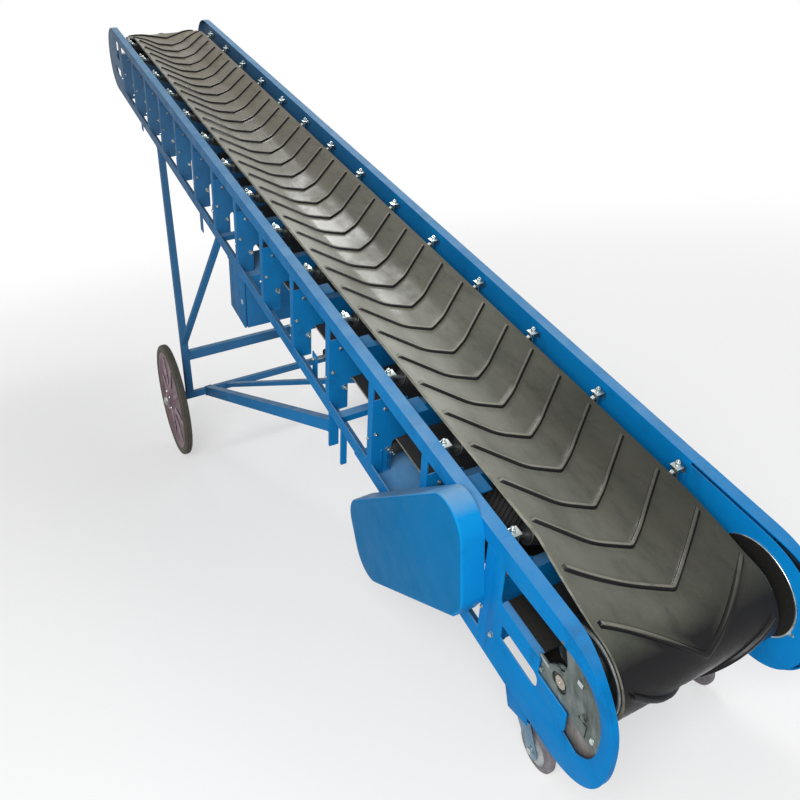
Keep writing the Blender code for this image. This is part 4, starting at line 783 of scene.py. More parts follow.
lagging, tree, shader = node_tree("drum_lagging")
wave = tree.nodes.new("ShaderNodeTexWave")
place = tree.nodes.new("ShaderNodeTexCoord")
tree.links.new(place.outputs["Object"], wave.inputs["Vector"])
wave.bands_direction = "DIAGONAL"
wave.inputs["Scale"].default_value = 24.0
groove = spread(tree, wave.outputs["Fac"], 0.10, 0.30)
colour = blend_colours(tree, groove, (0.008, 0.008, 0.008, 1), (0.028, 0.028, 0.027, 1))
tree.links.new(colour, shader.inputs["Base Color"])
tree.links.new(spread(tree, grain(tree, 40.0, 4.0), 0.3, 0.7, 0.55, 0.80), shader.inputs["Roughness"])
ripple(tree, shader, groove, 0.8, 0.003)
drive_drum = Workpiece("drive_drum_lagged")
add_drum(drive_drum, 0.205, -0.2077, 0.1093, 0.3545, lagging)
drive_drum.mount("chassis", "roller_steel", "drive_drum")


# Take-ups
# A zinc plated steel plate at each side carries the tail drum's bearing, and grease has darkened it. A
# threaded rod pulls it towards the tail, and a thin liner plate closes the window below it.

TAKE_UP_BACK, TAKE_UP_FACE = 0.3748, 0.3826
TAKE_UP_FOOT = -0.2560
TAKE_UP_TAB = -0.2580
BEARING_HOLE = 0.0312
SCREW_V, SCREW_W = 0.3487, -0.235
SCREW_START = -0.474
THREAD_PITCH = 0.0035
THREAD_TURNS = 20

take_up_zinc = make_zinc("take_up_zinc", (0.27, 0.32, 0.30, 1), (0.12, 0.15, 0.145, 1),
                         (0.035, 0.042, 0.033, 1), 0.30, 0.55, (1, 1, 0.35))
# Black for the bearing seals, and for the painted shade in the gap under the take-up plate.
seal_and_shade_black, shader = make_mottled("seal_and_shade_black", (60.0, 5.0), (0.003, 0.003, 0.003, 1),
                                    (0.030, 0.026, 0.018, 1), (0, 1), (0.22, 0.50))
bare_liner, shader = make_mottled("liner_primer", (26.0, 6.0, 0.6, (1, 1, 0.4)), (0.300, 0.280, 0.260, 1),
                                  (0.135, 0.125, 0.112, 1), (0.35, 0.65), (0.35, 0.60))
shader.inputs["Metallic"].default_value = 0.3


def round_outline(centre, radius, sides):
    """A circle as an outline."""
    turns = [math.tau * k / sides for k in range(sides)]
    return [(centre[0] + radius * math.cos(turn), centre[1] + radius * math.sin(turn)) for turn in turns]


tail_shaft = (TAIL_DRUM_U, DRUM_W)
take_up_edge = [(TAKE_UP_TAB, TAKE_UP_FOOT), (TAKE_UP_TAB, -0.1820), (-0.2940, -0.1820), (-0.3040, -0.1640),
                (-0.3180, -0.1520), (-0.3380, -0.1460), (-0.3540, -0.1350), (-0.3630, -0.1130),
                (-0.3600, -0.0880), (-0.3480, -0.0550), (-0.3460, -0.0290)]
take_up_edge += squared_round(WINDOW_AT, 0.1700, 0.1700, 92, 196, 28) + [(-0.5240, TAKE_UP_FOOT)]
liner = [(-0.3430, -0.3900), (-0.3430, -0.2600), (-0.5240, -0.2600), (-0.5240, -0.3420), (-0.4980, -0.3900)]
housing = [(0.0200, 0.0), (0.0420, 0.0), (0.0420, 0.0140), (0.0405, 0.0155), (0.0260, 0.0155),
           (0.0240, 0.0190), (0.0200, 0.0190)]
seal = [(0.0207, 0.0002), (0.0232, 0.0020), (0.0300, 0.0016), (0.0307, 0)]
thread = [(0, 0)]
for k in range(THREAD_TURNS):
    thread += [(0.0058, THREAD_PITCH * k), (0.0070, THREAD_PITCH * k + 0.0017)]
thread.append((0, THREAD_PITCH * THREAD_TURNS))

for name, side in (("left", 1), ("right", -1)):
    fittings = Workpiece(f"take_up_fitted_{name}")
    face = side * TAKE_UP_FACE
    out = (0, side, 0)
    turn = Matrix.Scale(side, 4, (0, 1, 0))
    bearing_hole = round_outline(tail_shaft, BEARING_HOLE, 40)
    fittings.add(cut_sheet([take_up_edge, bearing_hole], TAKE_UP_BACK, TAKE_UP_FACE, 0.0008), take_up_zinc,
                 turn)
    fittings.add(lathed((TAIL_DRUM_U, side * 0.3752, DRUM_W), (0, -side, 0), housing, 40), take_up_zinc)
    fittings.add(broken((-0.3000, -0.2585), (0.3790, 0.3829), (-0.1905, -0.1812), 0.0010), zinc, turn)
    screw_lug = broken((SCREW_START, -0.4460), (0.3420, 0.3752), (SCREW_W - 0.014, SCREW_W + 0.014), 0.0020)
    fittings.add(screw_lug, take_up_zinc, turn)
    fittings.add(lathed((TAIL_DRUM_U, side * 0.3760, DRUM_W), out, seal, 40), seal_and_shade_black)
    hex_fixing(fittings, take_up_zinc, (-0.450, face, -0.190), out, 0.017, 0.0045, 0.0)
    hex_fixing(fittings, take_up_zinc, (-0.335, face, -0.035), out, 0.013, 0.004, 0.0)
    hex_fixing(fittings, take_up_zinc, (-0.275, face, -0.225), out, 0.013, 0.004, 0.0)
    tab = either_side(side, TAKE_UP_FACE - 0.001, TAKE_UP_FACE + 0.0045)
    fittings.add(broken((-0.428, -0.408), tab, (-0.103, -0.088), 0.0010), zinc)
    cleat = either_side(side, TAKE_UP_FACE, TAKE_UP_FACE + 0.0040)
    fittings.add(broken((-0.466, -0.430), cleat, (-0.250, -0.206), 0.0010), take_up_zinc)
    hex_fixing(fittings, zinc, (-0.492, face, -0.227), out, 0.015, 0.0035, 0.0)
    fittings.add(lathed((SCREW_START, side * SCREW_V, SCREW_W), TO_TAIL, thread, 16), zinc)
    hex_fixing(fittings, zinc, (-0.492, side * SCREW_V, SCREW_W), TO_TAIL, 0.024, 0.012, 0.0)
    fittings.add(cut_plate(liner, 1, 0.3648, 0.3700, 0.0008), bare_liner, turn)
    # Painted shade: a black strip fills the gap under the take-up plate.
    gap_shade_strip = broken((-0.5240, -0.3000), either_side(side, 0.3650, 0.3818), (-0.2585, -0.2512), 0.0006)
    fittings.add(gap_shade_strip, seal_and_shade_black)
    fittings.mount("chassis", "zinc_plate", f"take_up_{name}")

# The right side is closed inside its window by a blue sheet, with a ringed black rubber disc round the shaft
# that puts painted shade beyond the belt's edge
closing_edge = [(-0.0270, 0.0080), (-0.2500, 0.0080)] + squared_round(TAIL_AT, 0.2320, 0.2300)
closing_edge += [(-0.2500, -0.4520), (-0.0270, -0.4520)]
SHEET_V = 0.3380
HOLE_R = 0.0245
SHADE_DISC_R = 0.1480
RING_R = 0.1535
closing_sheet = Workpiece("closing_sheet_right")
sheet = cut_sheet([closing_edge, round_outline(tail_shaft, HOLE_R, 32)], SHEET_V, SHEET_V + 0.0030, 0.0006)
closing_sheet.add(sheet, enamel, Matrix.Scale(-1, 4, (0, 1, 0)))
disc = [(HOLE_R, 0), (SHADE_DISC_R, 0), (SHADE_DISC_R, 0.0035), (SHADE_DISC_R - 0.0010, 0.0045), (HOLE_R, 0.0045)]
ring = [(SHADE_DISC_R + 0.0002, 0), (RING_R, 0), (RING_R, 0.0048), (RING_R - 0.0010, 0.0060),
        (SHADE_DISC_R + 0.0002, 0.0060)]
for profile, finish in ((disc, shade_fill_rubber), (ring, zinc)):
    closing_sheet.add(lathed((TAIL_DRUM_U, -SHEET_V - 0.0001, DRUM_W), (0, 1, 0), profile, 64), finish)
closing_sheet.mount("chassis", "blue_paint")


# Chevron belt
# A black rubber belt with moulded chevron lugs, joined into a loop. It is olive with dust, shines in
# patches where it is wet and shows a paler cut edge. Its lug walls and its faces turned sideways or down
# are painted near-black as shade, and its lug crowns and left wing are painted paler as highlight.

BELT_THICK = 0.010
LUG_WIDTH = 0.024
LUG_SPACING = 0.1717
LUG_SWEEP = math.tan(math.radians(33.5))
LUG_END = 0.262
LUG_FADE = 0.0045
LUG_NOSE = 0.006
LAST_U = STATIONS[-1]
BELT_WRAP = 0.128


def wrap_angle(centre, point, side):
    """Angle on a drum of the line from a point that just touches it."""
    offset = Vector(point) - Vector(centre)
    return math.atan2(offset.y, offset.x) + side * math.acos(BELT_WRAP / offset.length)


tail_at, head_at = (TAIL_DRUM_U, DRUM_W), (HEAD_DRUM_U, DRUM_W)
belt_first, belt_last = (-0.050, BELT_BED), (LAST_U + 0.050, BELT_BED)
leave = wrap_angle(tail_at, belt_first, 1)
meet = wrap_angle(head_at, belt_last, -1)
off_tail = (tail_at[0] + BELT_WRAP * math.cos(leave), tail_at[1] + BELT_WRAP * math.sin(leave))
on_head = (head_at[0] + BELT_WRAP * math.cos(meet), head_at[1] + BELT_WRAP * math.sin(meet))
BELT_RUN = [
    ("line", off_tail, belt_first, 0.0, 1.0),
    ("line", belt_first, belt_last, 1.0, 1.0),
    ("line", belt_last, on_head, 1.0, 0.0),
    ("arc", head_at, meet, -math.pi / 2 - meet),
    ("line", (head_at[0], head_at[1] - BELT_WRAP), (tail_at[0], tail_at[1] - BELT_WRAP), 0.0, 0.0),
    ("arc", tail_at, -math.pi / 2, leave - 1.5 * math.pi),
]
run_ends = []
belt_length = 0.0
for part in BELT_RUN:
    if part[0] == "line":
        belt_length += (Vector(part[2]) - Vector(part[1])).length
    else:
        belt_length += abs(part[3]) * BELT_WRAP
    run_ends.append(belt_length)


def belt_line(s):
    """The belt's inner line: place, outward normal and depth of trough at a length s."""
    s %= belt_length
    start = 0.0
    for part, end in zip(BELT_RUN, run_ends):
        if s <= end:
            break
        start = end
    share = (s - start) / (end - start)
    if part[0] == "line":
        a, b = Vector(part[1]), Vector(part[2])
        way = (b - a).normalized()
        trough = part[3] + (part[4] - part[3]) * share
        return a.lerp(b, share), Vector((-way.y, way.x)).lerp(Vector((0, 1)), trough), trough
    angle = part[2] + part[3] * share
    normal = Vector((math.cos(angle), math.sin(angle)))
    return Vector(part[1]) + normal * BELT_WRAP, normal, 0.0


BEND_ROUND = 0.030
HALF_COLUMNS = [0.0, 0.008, 0.024, 0.046, 0.068, 0.080, 0.090, 0.100, 0.110, 0.122, 0.140, 0.170, 0.200,
                0.228, 0.250, 0.2575, 0.262, 0.270, 0.277, 0.280]


def cross_section(angle):
    """Where each column of the belt lies across and above its middle, for a trough of some angle."""
    places = []
    v = rise = last = 0.0
    for t in HALF_COLUMNS:
        while last < t - 1e-9:
            step = min(0.002, t - last)
            middle = last + step / 2
            lean = angle * min(1.0, max(0.0, (middle - FLAT_HALF + BEND_ROUND) / (2 * BEND_ROUND)))
            v += step * math.cos(lean)
            rise += step * math.sin(lean)
            last += step
        lean = angle * min(1.0, max(0.0, (t - FLAT_HALF + BEND_ROUND) / (2 * BEND_ROUND)))
        places.append((v, rise, lean))
    return places


section_cache = {}


def belt_point(s, column, side, height):
    """A point of the belt by its length, its column and its height over the inner face."""
    base, normal, trough = belt_line(s)
    key = round(trough, 3)
    if key not in section_cache:
        section_cache[key] = cross_section(key * TROUGH)
    v, rise, lean = section_cache[key][column]
    place = base + normal * (rise + height * math.cos(lean))
    return (place.x, side * (v - height * math.sin(lean)), place.y)


LUG_SHAPE = [(0.0, 0.0), (0.0018, 0.0008), (0.0032, 0.0060), (0.0046, 0.0106), (0.0064, 0.0120),
             (0.0120, 0.0120), (0.0176, 0.0120), (0.0194, 0.0106), (0.0208, 0.0060), (0.0222, 0.0008),
             (0.0240, 0.0)]
BARE_STEPS = 8

ROWS_A_LUG = len(LUG_SHAPE) + BARE_STEPS - 1
# Marks for the belt's faces. The lug walls are painted near-black as painted shade, the lug crowns paler as
# painted highlight.
TOP, BACK, EDGE, SHADED_WALL, LIT_CROWN = range(5)
LUG_MARKS = {1: SHADED_WALL, 2: SHADED_WALL, 3: SHADED_WALL, 4: LIT_CROWN, 5: LIT_CROWN, 6: SHADED_WALL, 7: SHADED_WALL, 8: SHADED_WALL}
INNER_COLUMNS = (0, 4, 6, 7, 8, 10, 13, 16, 19)


def swept(t):
    """How far along the belt a chevron has run at a distance from the middle. Its nose is rounded."""
    return LUG_SWEEP * (math.hypot(t, LUG_NOSE) - LUG_NOSE)


lug_count = round(belt_length / LUG_SPACING)
lug_pitch = belt_length / lug_count
belt_rows = []
for number in range(lug_count):
    belt_rows += [(number * lug_pitch + at, height) for at, height in LUG_SHAPE]
    gap = lug_pitch - LUG_WIDTH
    belt_rows += [(number * lug_pitch + LUG_WIDTH + gap * k / BARE_STEPS, 0.0) for k in range(1, BARE_STEPS)]

columns = [(k, -1) for k in range(len(HALF_COLUMNS) - 1, 0, -1)] + [(k, 1) for k in range(len(HALF_COLUMNS))]
belt_verts, belt_faces, belt_marks = [], [], []
for s, lug in belt_rows:
    for column, side in columns:
        t = HALF_COLUMNS[column]
        end = min(1.0, max(0.0, (LUG_END - t) / LUG_FADE))
        belt_verts.append(belt_point(s + swept(t), column, side, BELT_THICK + lug * end))
width = len(columns)
rows = len(belt_rows)
for r in range(rows):
    mark = LUG_MARKS.get(r % ROWS_A_LUG, TOP)
    for c in range(width - 1):
        here, beyond = r * width + c, ((r + 1) % rows) * width + c
        belt_faces.append((here, here + 1, beyond + 1, beyond))
        on_lug = max(HALF_COLUMNS[columns[c][0]], HALF_COLUMNS[columns[c + 1][0]]) <= LUG_END + 1e-6
        belt_marks.append(mark if on_lug else TOP)
inner_start = len(belt_verts)
inner_columns = [c for c in range(width) if columns[c][0] in INNER_COLUMNS]
inner_width = len(inner_columns)
for s, lug in belt_rows:
    for c in inner_columns:
        column, side = columns[c]
        belt_verts.append(belt_point(s + swept(HALF_COLUMNS[column]), column, side, 0.0))
for r in range(rows):
    ahead = (r + 1) % rows
    for c in range(inner_width - 1):
        here, beyond = inner_start + r * inner_width + c, inner_start + ahead * inner_width + c
        belt_faces.append((here, beyond, beyond + 1, here + 1))
        belt_marks.append(BACK)
    for outer_c, inner_c, flip in ((0, 0, True), (width - 1, inner_width - 1, False)):
        edge = (r * width + outer_c, ahead * width + outer_c, inner_start + ahead * inner_width + inner_c,
                inner_start + r * inner_width + inner_c)
        belt_faces.append(tuple(reversed(edge)) if flip else edge)
        belt_marks.append(EDGE)
belt_data = bpy.data.meshes.new("chevron_belt_moulded")
belt_data.from_pydata(belt_verts, [], belt_faces)
belt_data.transform(DECK)
belt_data.polygons.foreach_set("material_index", belt_marks)
belt_data.shade_smooth()
belt_data.set_sharp_from_angle(angle=math.radians(48))

# Near-black for faces turned sideways or down: bare rubber and painted shade.
CLEAN_OR_SHADED_RUBBER = (0.009, 0.009, 0.010, 1)


def make_rubber(name, damp, dusty, cover=1.0):
    """Black rubber under a film of wet dust where the belt faces up. Where it faces sideways or down it is
    near-black, partly bare rubber and partly painted shade, and on the left wing near the tail it is painted
    pale as a painted highlight.
    """
    material, tree, shader = node_tree(name)
    dirt = spread(tree, grain(tree, 3.2, 7.0, 0.62, (0.35, 1, 1), True), 0.34, 0.66)
    film = blend_colours(tree, dirt, damp, dusty)
    film = blend_colours(tree, towards_head(tree, -1.6, 2.6), film, (0.165, 0.145, 0.110, 1))
    wipes = spread(tree, grain(tree, 26.0, 6.0, 0.7, (0.10, 1, 1), True), 0.50, 0.72, 0.0, 0.5)
    film = blend_colours(tree, wipes, film, (0.030, 0.031, 0.026, 1))
    place = tree.nodes.new("ShaderNodeTexCoord")
    split = tree.nodes.new("ShaderNodeSeparateXYZ")
    tree.links.new(place.outputs["Object"], split.inputs["Vector"])
    right_foot = times(tree, spread(tree, split.outputs["Y"], 0.06, -0.14),
                       spread(tree, split.outputs["X"], -2.1, -1.5, 0.72, 0.0))
    film = blend_colours(tree, right_foot, film, (0.022, 0.023, 0.019, 1))
    # Painted highlight: the left wing near the tail is painted pale, standing for the wet belt's sheen.
    left_wing_sheen = times(tree, spread(tree, split.outputs["Y"], -0.03, 0.20), towards_head(tree, -2.85, -1.75))
    left_wing_sheen = times(tree, left_wing_sheen, spread(tree, split.outputs["X"], -0.9, 0.9, 1.0, 0.30))
    left_sheen_grain = spread(tree, grain(tree, 5.0, 6.0, 0.6, (0.3, 1, 1), True), 0.30, 0.62, 0.45, 0.95)
    left_wing_sheen = times(tree, left_wing_sheen, left_sheen_grain)
    film = blend_colours(tree, left_wing_sheen, film, (0.430, 0.435, 0.380, 1))
    spots = spread(tree, grain(tree, 70.0, 4.0, 0.6), 0.66, 0.74, 0.0, 0.4)
    film = blend_colours(tree, spots, film, (0.150, 0.145, 0.120, 1))
    # Painted shade, partly bare rubber: the dust film only where the belt faces up, near-black elsewhere.
    lies = times(tree, upward(tree, 0.42, 0.88), cover)
    tree.links.new(blend_colours(tree, lies, CLEAN_OR_SHADED_RUBBER, film), shader.inputs["Base Color"])
    wet = grain(tree, 3.4, 7.0, 0.62, (0.5, 1, 1), True)
    tree.links.new(spread(tree, wet, 0.40, 0.60, 0.17, 0.52), shader.inputs["Roughness"])
    ripple(tree, shader, grain(tree, 60.0, 5.0, 0.6), 0.18, 0.0014)
    shader.inputs["Specular IOR Level"].default_value = 0.13
    return material


belt_rubber = make_rubber("belt_rubber", (0.064, 0.069, 0.054, 1), (0.128, 0.127, 0.099, 1))
# Painted highlight, with dust: the lug crowns are paler than the belt.
lug_crown_dust_highlight = make_rubber("lug_crown_dust_highlight", (0.150, 0.148, 0.124, 1), (0.255, 0.240, 0.196, 1))
# Painted shade: the lug walls are near-black.
lug_wall_shade = make_rubber("lug_wall_shade", (0.010, 0.010, 0.009, 1), (0.026, 0.025, 0.020, 1), 0.6)
belt_back, shader = make_mottled("belt_back", (180.0, 3.0), (0.014, 0.014, 0.013, 1),
                                 (0.032, 0.031, 0.028, 1), (0, 1), (0.55, 0.75),
                                 bump=(180.0, 3.0, 0.3, 0.0004))
belt_edge, shader = make_mottled("belt_cut_edge", (40.0, 5.0, 0.6, (0.3, 1, 1), True), (0.36, 0.35, 0.28, 1),
                                 (0.16, 0.155, 0.12, 1), (0.35, 0.65), (0.45, 0.65))
for finish in (belt_rubber, belt_back, belt_edge, lug_wall_shade, lug_crown_dust_highlight):
    belt_data.materials.append(finish)
hang("chevron_belt_moulded", belt_data, "chassis", ("chevron_belt",))


# Drive motor
# A finned electric motor on a gearbox, hung under its plate on a bolted foot. Cast housings, a pressed
# fan cover and a terminal box with cable glands, all in a grey enamel.

MOTOR_U = 0.660
MOTOR_W = -0.5956
MOTOR_PLATE_FOOT = -0.4760
TERMINAL_U = (MOTOR_U - 0.158, MOTOR_U - 0.094)
LID_U = TERMINAL_U[0] - 0.010
ACROSS = (0, 1, 0)
FINS = 36
VENTS = 10

motor_grey, tree, shader = node_tree("motor_grey")
cast = grain(tree, 34.0, 6.0, 0.6)
patches = spread(tree, grain(tree, 4.0, 5.0), 0.3, 0.7)
body = blend_colours(tree, patches, (0.270, 0.290, 0.290, 1), (0.400, 0.415, 0.405, 1))
soot = spread(tree, grain(tree, 9.0, 6.0, 0.65), 0.52, 0.72, 0.0, 0.6)
body = blend_colours(tree, soot, body, (0.090, 0.095, 0.090, 1))
tree.links.new(body, shader.inputs["Base Color"])
tree.links.new(spread(tree, cast, 0.3, 0.7, 0.38, 0.58), shader.inputs["Roughness"])
ripple(tree, shader, cast, 0.35, 0.0010)


def cable_gland(work, at):
    """A plastic gland below a box, without a cable."""
    gland = [(0, 0), (0.014, 0), (0.014, 0.006), (0.0115, 0.008), (0.0115, 0.016), (0.008, 0.021),
             (0.006, 0.021), (0.006, 0.012)]
    work.add(lathed(at, DOWN, gland, 12), black_plastic)


motor = Workpiece("geared_motor")
motor.add(lathed((MOTOR_U, -0.135, MOTOR_W), ACROSS, rod(0.086, 0.275), 48), motor_grey)
for k in range(FINS):
    angle = math.tau * k / FINS
    under_foot = abs(math.sin(angle)) < 0.35 and math.cos(angle) > 0
    if under_foot:
        continue
    turn = Matrix.Translation((MOTOR_U, 0, MOTOR_W)) @ Matrix.Rotation(angle, 4, "Y")
    motor.add(broken((-0.0016, 0.0016), (-0.122, 0.118), (0.084, 0.103), 0.0010, 1), motor_grey, turn)
end_bell = [(0, 0), (0.094, 0), (0.1045, 0.003), (0.1045, 0.021), (0.101, 0.024), (0, 0.024)]
for v in (-0.142, 0.120):
    motor.add(lathed((MOTOR_U, v, MOTOR_W), ACROSS, end_bell, 48), motor_grey)
fan_cover = [(0, 0.012), (0.020, 0.010), (0.022, 0.004), (0.050, 0.004), (0.052, 0.010), (0.056, 0.010),
             (0.058, 0.004), (0.078, 0.004), (0.080, 0.010), (0.084, 0.010), (0.086, 0.003), (0.100, 0.003),
             (0.108, 0.007), (0.1115, 0.014), (0.1115, 0.078), (0.1095, 0.0795), (0.1085, 0.078),
             (0.1085, 0.060)]
motor.add(lathed((MOTOR_U, -0.2195, MOTOR_W), ACROSS, fan_cover, 56), motor_grey)
for k in range(VENTS):
    turn = Matrix.Translation((MOTOR_U, -0.2160, MOTOR_W)) @ Matrix.Rotation(math.tau * k / VENTS, 4, "Y")
    motor.add(broken((-0.003, 0.003), (-0.0008, 0.0055), (0.018, 0.088), 0.0008, 1), motor_grey, turn)
for foot_u in (MOTOR_U - 0.070, MOTOR_U + 0.070):
    foot = broken((foot_u - 0.022, foot_u + 0.022), (-0.110, 0.140),
                  (MOTOR_W + 0.060, MOTOR_PLATE_FOOT), 0.003)
    motor.add(foot, motor_grey)
    for v in (-0.080, 0.110):
        hex_fixing(motor, zinc, (foot_u, v, -0.4653), UP, 0.017, 0.008, 0.004)
terminal_box = broken(TERMINAL_U, (-0.060, 0.060), (MOTOR_W - 0.045, MOTOR_W + 0.050), 0.005, 3)
motor.add(terminal_box, motor_grey)
lid = broken((LID_U, LID_U + 0.009), (-0.064, 0.064), (MOTOR_W - 0.049, MOTOR_W + 0.054), 0.003)
motor.add(lid, motor_grey)
for v in (-0.052, 0.052):
    for w in (MOTOR_W - 0.038, MOTOR_W + 0.042):
        hex_fixing(motor, zinc, (LID_U, v, w), TO_TAIL, 0.008, 0.003, 0.0)
for v in (-0.025, 0.025):
    cable_gland(motor, (MOTOR_U - 0.126, v, MOTOR_W - 0.045))
gearbox = broken((MOTOR_U - 0.098, MOTOR_U + 0.098), (0.146, 0.288),
                 (MOTOR_W - 0.098, MOTOR_PLATE_FOOT - 0.0005), 0.016, 4)
motor.add(gearbox, motor_grey)
gear_lid = [(0, 0), (0.084, 0), (0.088, 0.003), (0.088, 0.009), (0.085, 0.012), (0.040, 0.012),
            (0.038, 0.022), (0.0215, 0.022), (0.0210, 0.014)]
motor.add(lathed((MOTOR_U, 0.286, MOTOR_W), ACROSS, gear_lid, 48), motor_grey)
for k in range(6):
    turn = math.tau * (k + 0.5) / 6
    at = (MOTOR_U + 0.074 * math.cos(turn), 0.298, MOTOR_W + 0.074 * math.sin(turn))
    hex_fixing(motor, zinc, at, ACROSS, 0.011, 0.005, 0.0)
# The oil plugs
for u, w in ((MOTOR_U + 0.060, MOTOR_W - 0.060), (MOTOR_U - 0.060, MOTOR_W + 0.040)):
    hex_fixing(motor, zinc, (u, 0.146, w), (0, -1, 0), 0.016, 0.006, 0.0)
output_shaft = [(0, 0), (0.0195, 0), (0.0195, 0.086), (0.018, 0.0875), (0, 0.0875)]
motor.add(lathed((MOTOR_U, 0.300, MOTOR_W), ACROSS, output_shaft, 32), ground_steel)
key = broken((MOTOR_U - 0.003, MOTOR_U + 0.003), (0.330, 0.380), (MOTOR_W + 0.018, MOTOR_W + 0.0215), 0.0006)
motor.add(key, ground_steel)
motor.mount("chassis", "motor_grey", "drive_motor")


# Drive guard
# A pressed cover over the belt drive, deep drawn with a soft outer edge, its rim bolted to the side frame.

GUARD_CORNERS = ((0.045, -0.345, 0.008), (0.658, -0.848, 0.110), (0.812, -0.582, 0.100),
                 (0.067, 0.162, 0.100), (0.004, -0.260, 0.080))
GUARD_BACK = 0.3884
GUARD_FRONT = 0.4698

# Painted light and shade: the front face is a darker copy of the enamel, the side walls a paler one.
guard_face_shade_enamel = make_enamel("guard_face_shade_enamel", (0.002, 0.140, 0.340, 1), (0.003, 0.158, 0.382, 1), 0.75, 0, 0.18)
guard_wall_lit_enamel = make_enamel("guard_wall_lit_enamel", (0.003, 0.200, 0.490, 1), (0.005, 0.235, 0.570, 1), 0.90, 0, 0.30)

guard = Workpiece("drive_guard_pressing")
shell = cut_plate(soft_outline(GUARD_CORNERS, 14), 1, GUARD_BACK, GUARD_FRONT, 0)
front_rim = [e for e in shell.edges if all(abs(p.co.y - GUARD_FRONT) < 1e-6 for p in e.verts)]
bmesh.ops.bevel(shell, geom=front_rim, offset=0.009, segments=6, profile=0.5, affect="EDGES")
shell.normal_update()
shaded_face_metal = shell.copy()
FACES_OUT = 0.80
bmesh.ops.delete(shaded_face_metal, geom=[f for f in shaded_face_metal.faces if f.normal.y < FACES_OUT], context="FACES")
bmesh.ops.delete(shell, geom=[f for f in shell.faces if f.normal.y >= FACES_OUT], context="FACES")
guard.add(shaded_face_metal, guard_face_shade_enamel)
guard.add(shell, guard_wall_lit_enamel)
bmesh.ops.remove_doubles(guard.mesh, verts=guard.mesh.verts, dist=0.00002)
guard.mount("chassis", "blue_paint", "drive_guard", crease=24)


# Control cabinet
# A small folded steel cabinet under the deck, with a gasketed door on two hinges, a quarter-turn lock,
# a rain lip and cable glands below.

CABINET_U = (2.330, 2.580)
CABINET_V = (0.120, 0.384)
CABINET_W = (-0.7853, FRAME_FOOT - 0.0005)
DOOR_BACK = CABINET_V[1] - 0.012
LOCK_U = CABINET_U[0] + 0.024

cabinet = Workpiece("control_cabinet_box")
cabinet.add(broken(CABINET_U, (CABINET_V[0], DOOR_BACK - 0.004), CABINET_W, 0.004, 3), enamel)
gasket = broken((CABINET_U[0] + 0.006, CABINET_U[1] - 0.006), (DOOR_BACK - 0.005, DOOR_BACK),
                (CABINET_W[0] + 0.006, CABINET_W[1] - 0.012), 0.001)
cabinet.add(gasket, black_plastic)
door = broken((CABINET_U[0] + 0.002, CABINET_U[1] - 0.002), (DOOR_BACK, CABINET_V[1]),
              (CABINET_W[0] + 0.002, CABINET_W[1] - 0.008), 0.003, 3)
cabinet.add(door, enamel)
rain_lip = broken(CABINET_U, (CABINET_V[1] - 0.018, CABINET_V[1] + 0.006),
                  (CABINET_W[1] - 0.006, CABINET_W[1]), 0.002)
cabinet.add(rain_lip, enamel)
hinge = [(0, 0), (0.0055, 0), (0.006, 0.001), (0.006, 0.039), (0.0055, 0.040), (0, 0.040)]
for w in (-0.760, -0.540):
    cabinet.add(lathed((CABINET_U[1] + 0.003, CABINET_V[1] - 0.009, w), UP, hinge, 16), zinc)
lock = [(0, 0), (0.014, 0), (0.014, 0.003), (0.0125, 0.0045), (0.006, 0.0045), (0.006, 0.001), (0, 0.001)]
cabinet.add(lathed((LOCK_U, CABINET_V[1], -0.625), ACROSS, lock, 28), zinc)
lock_slot = broken((LOCK_U - 0.0015, LOCK_U + 0.0015), (CABINET_V[1], CABINET_V[1] + 0.004),
                   (-0.630, -0.620), 0.0006)
cabinet.add(lock_slot, black_plastic)
for u in (2.390, 2.455, 2.520):
    cable_gland(cabinet, (u, 0.250, CABINET_W[0]))
for u in (2.350, 2.560):
    hex_fixing(cabinet, zinc, (u, 0.3660, RAIL_FLOOR), UP, 0.015, 0.007, 0.004)
cabinet.mount("chassis", "blue_paint", "control_cabinet")


# Undercarriage
# Square steel tubes, cut to length and welded: two long legs, struts, drawbar braces and cross beams
# under the deck, on a square axle with turned ends. Weld beads show where they meet.

for side in ("left", "right"):
    for piece in ("leg", "strut", "brace"):
        dress(f"{piece}_{side}", enamel, 0.0030)
dress("upper_beam", enamel, 0.0035)
dress("diagonal_brace", enamel, 0.0025)

AXLE_X = DECK_FOOT_X + 3.150
AXLE_Z = 0.335
AXLE_HALF = 0.6400


def end_ring(node, way):
    """The four corners of a tube's far end in one direction, in order round it."""
    corners = [Vector(v.co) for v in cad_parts[node].data.vertices]
    tip = max(corners, key=lambda p: p.dot(Vector(way)))
    ring = []
    for p in sorted(corners, key=lambda p: (p - tip).length):
        if all((p - q).length > 0.004 for q in ring) and len(ring) < 4:
            ring.append(p)
    middle = sum(ring, Vector()) / len(ring)
    one = (ring[0] - middle).normalized()
    face = one.cross(ring[1] - middle)
    if face.length < 1e-6:
        face = one.cross(ring[2] - middle)
    other = face.normalized().cross(one)
    return sorted(ring, key=lambda p: math.atan2((p - middle).dot(other), (p - middle).dot(one)))


welded_ends = []
for side in ("left", "right"):
    for node, ways in (("leg", (UP, DOWN)), ("strut", (UP, DOWN)), ("brace", (TO_TAIL, (1, 0, 0)))):
        welded_ends += [(f"{node}_{side}", way, 0.0034) for way in ways]
welded_ends += [("upper_beam", way, 0.0034) for way in (ACROSS, (0, -1, 0))]
welded_ends += [("diagonal_brace", way, 0.0030) for way in ((1, 0, 0), TO_TAIL)]
tube_welds = Workpiece("tube_welds")
for node, way, radius in welded_ends:
    ring = end_ring(node, way)
    for a, b in zip(ring, ring[1:] + ring[:1]):
        tube_welds.add(bead([a, b], radius), enamel)
tube_welds.mount("chassis", "blue_paint", at=Matrix.Identity(4))

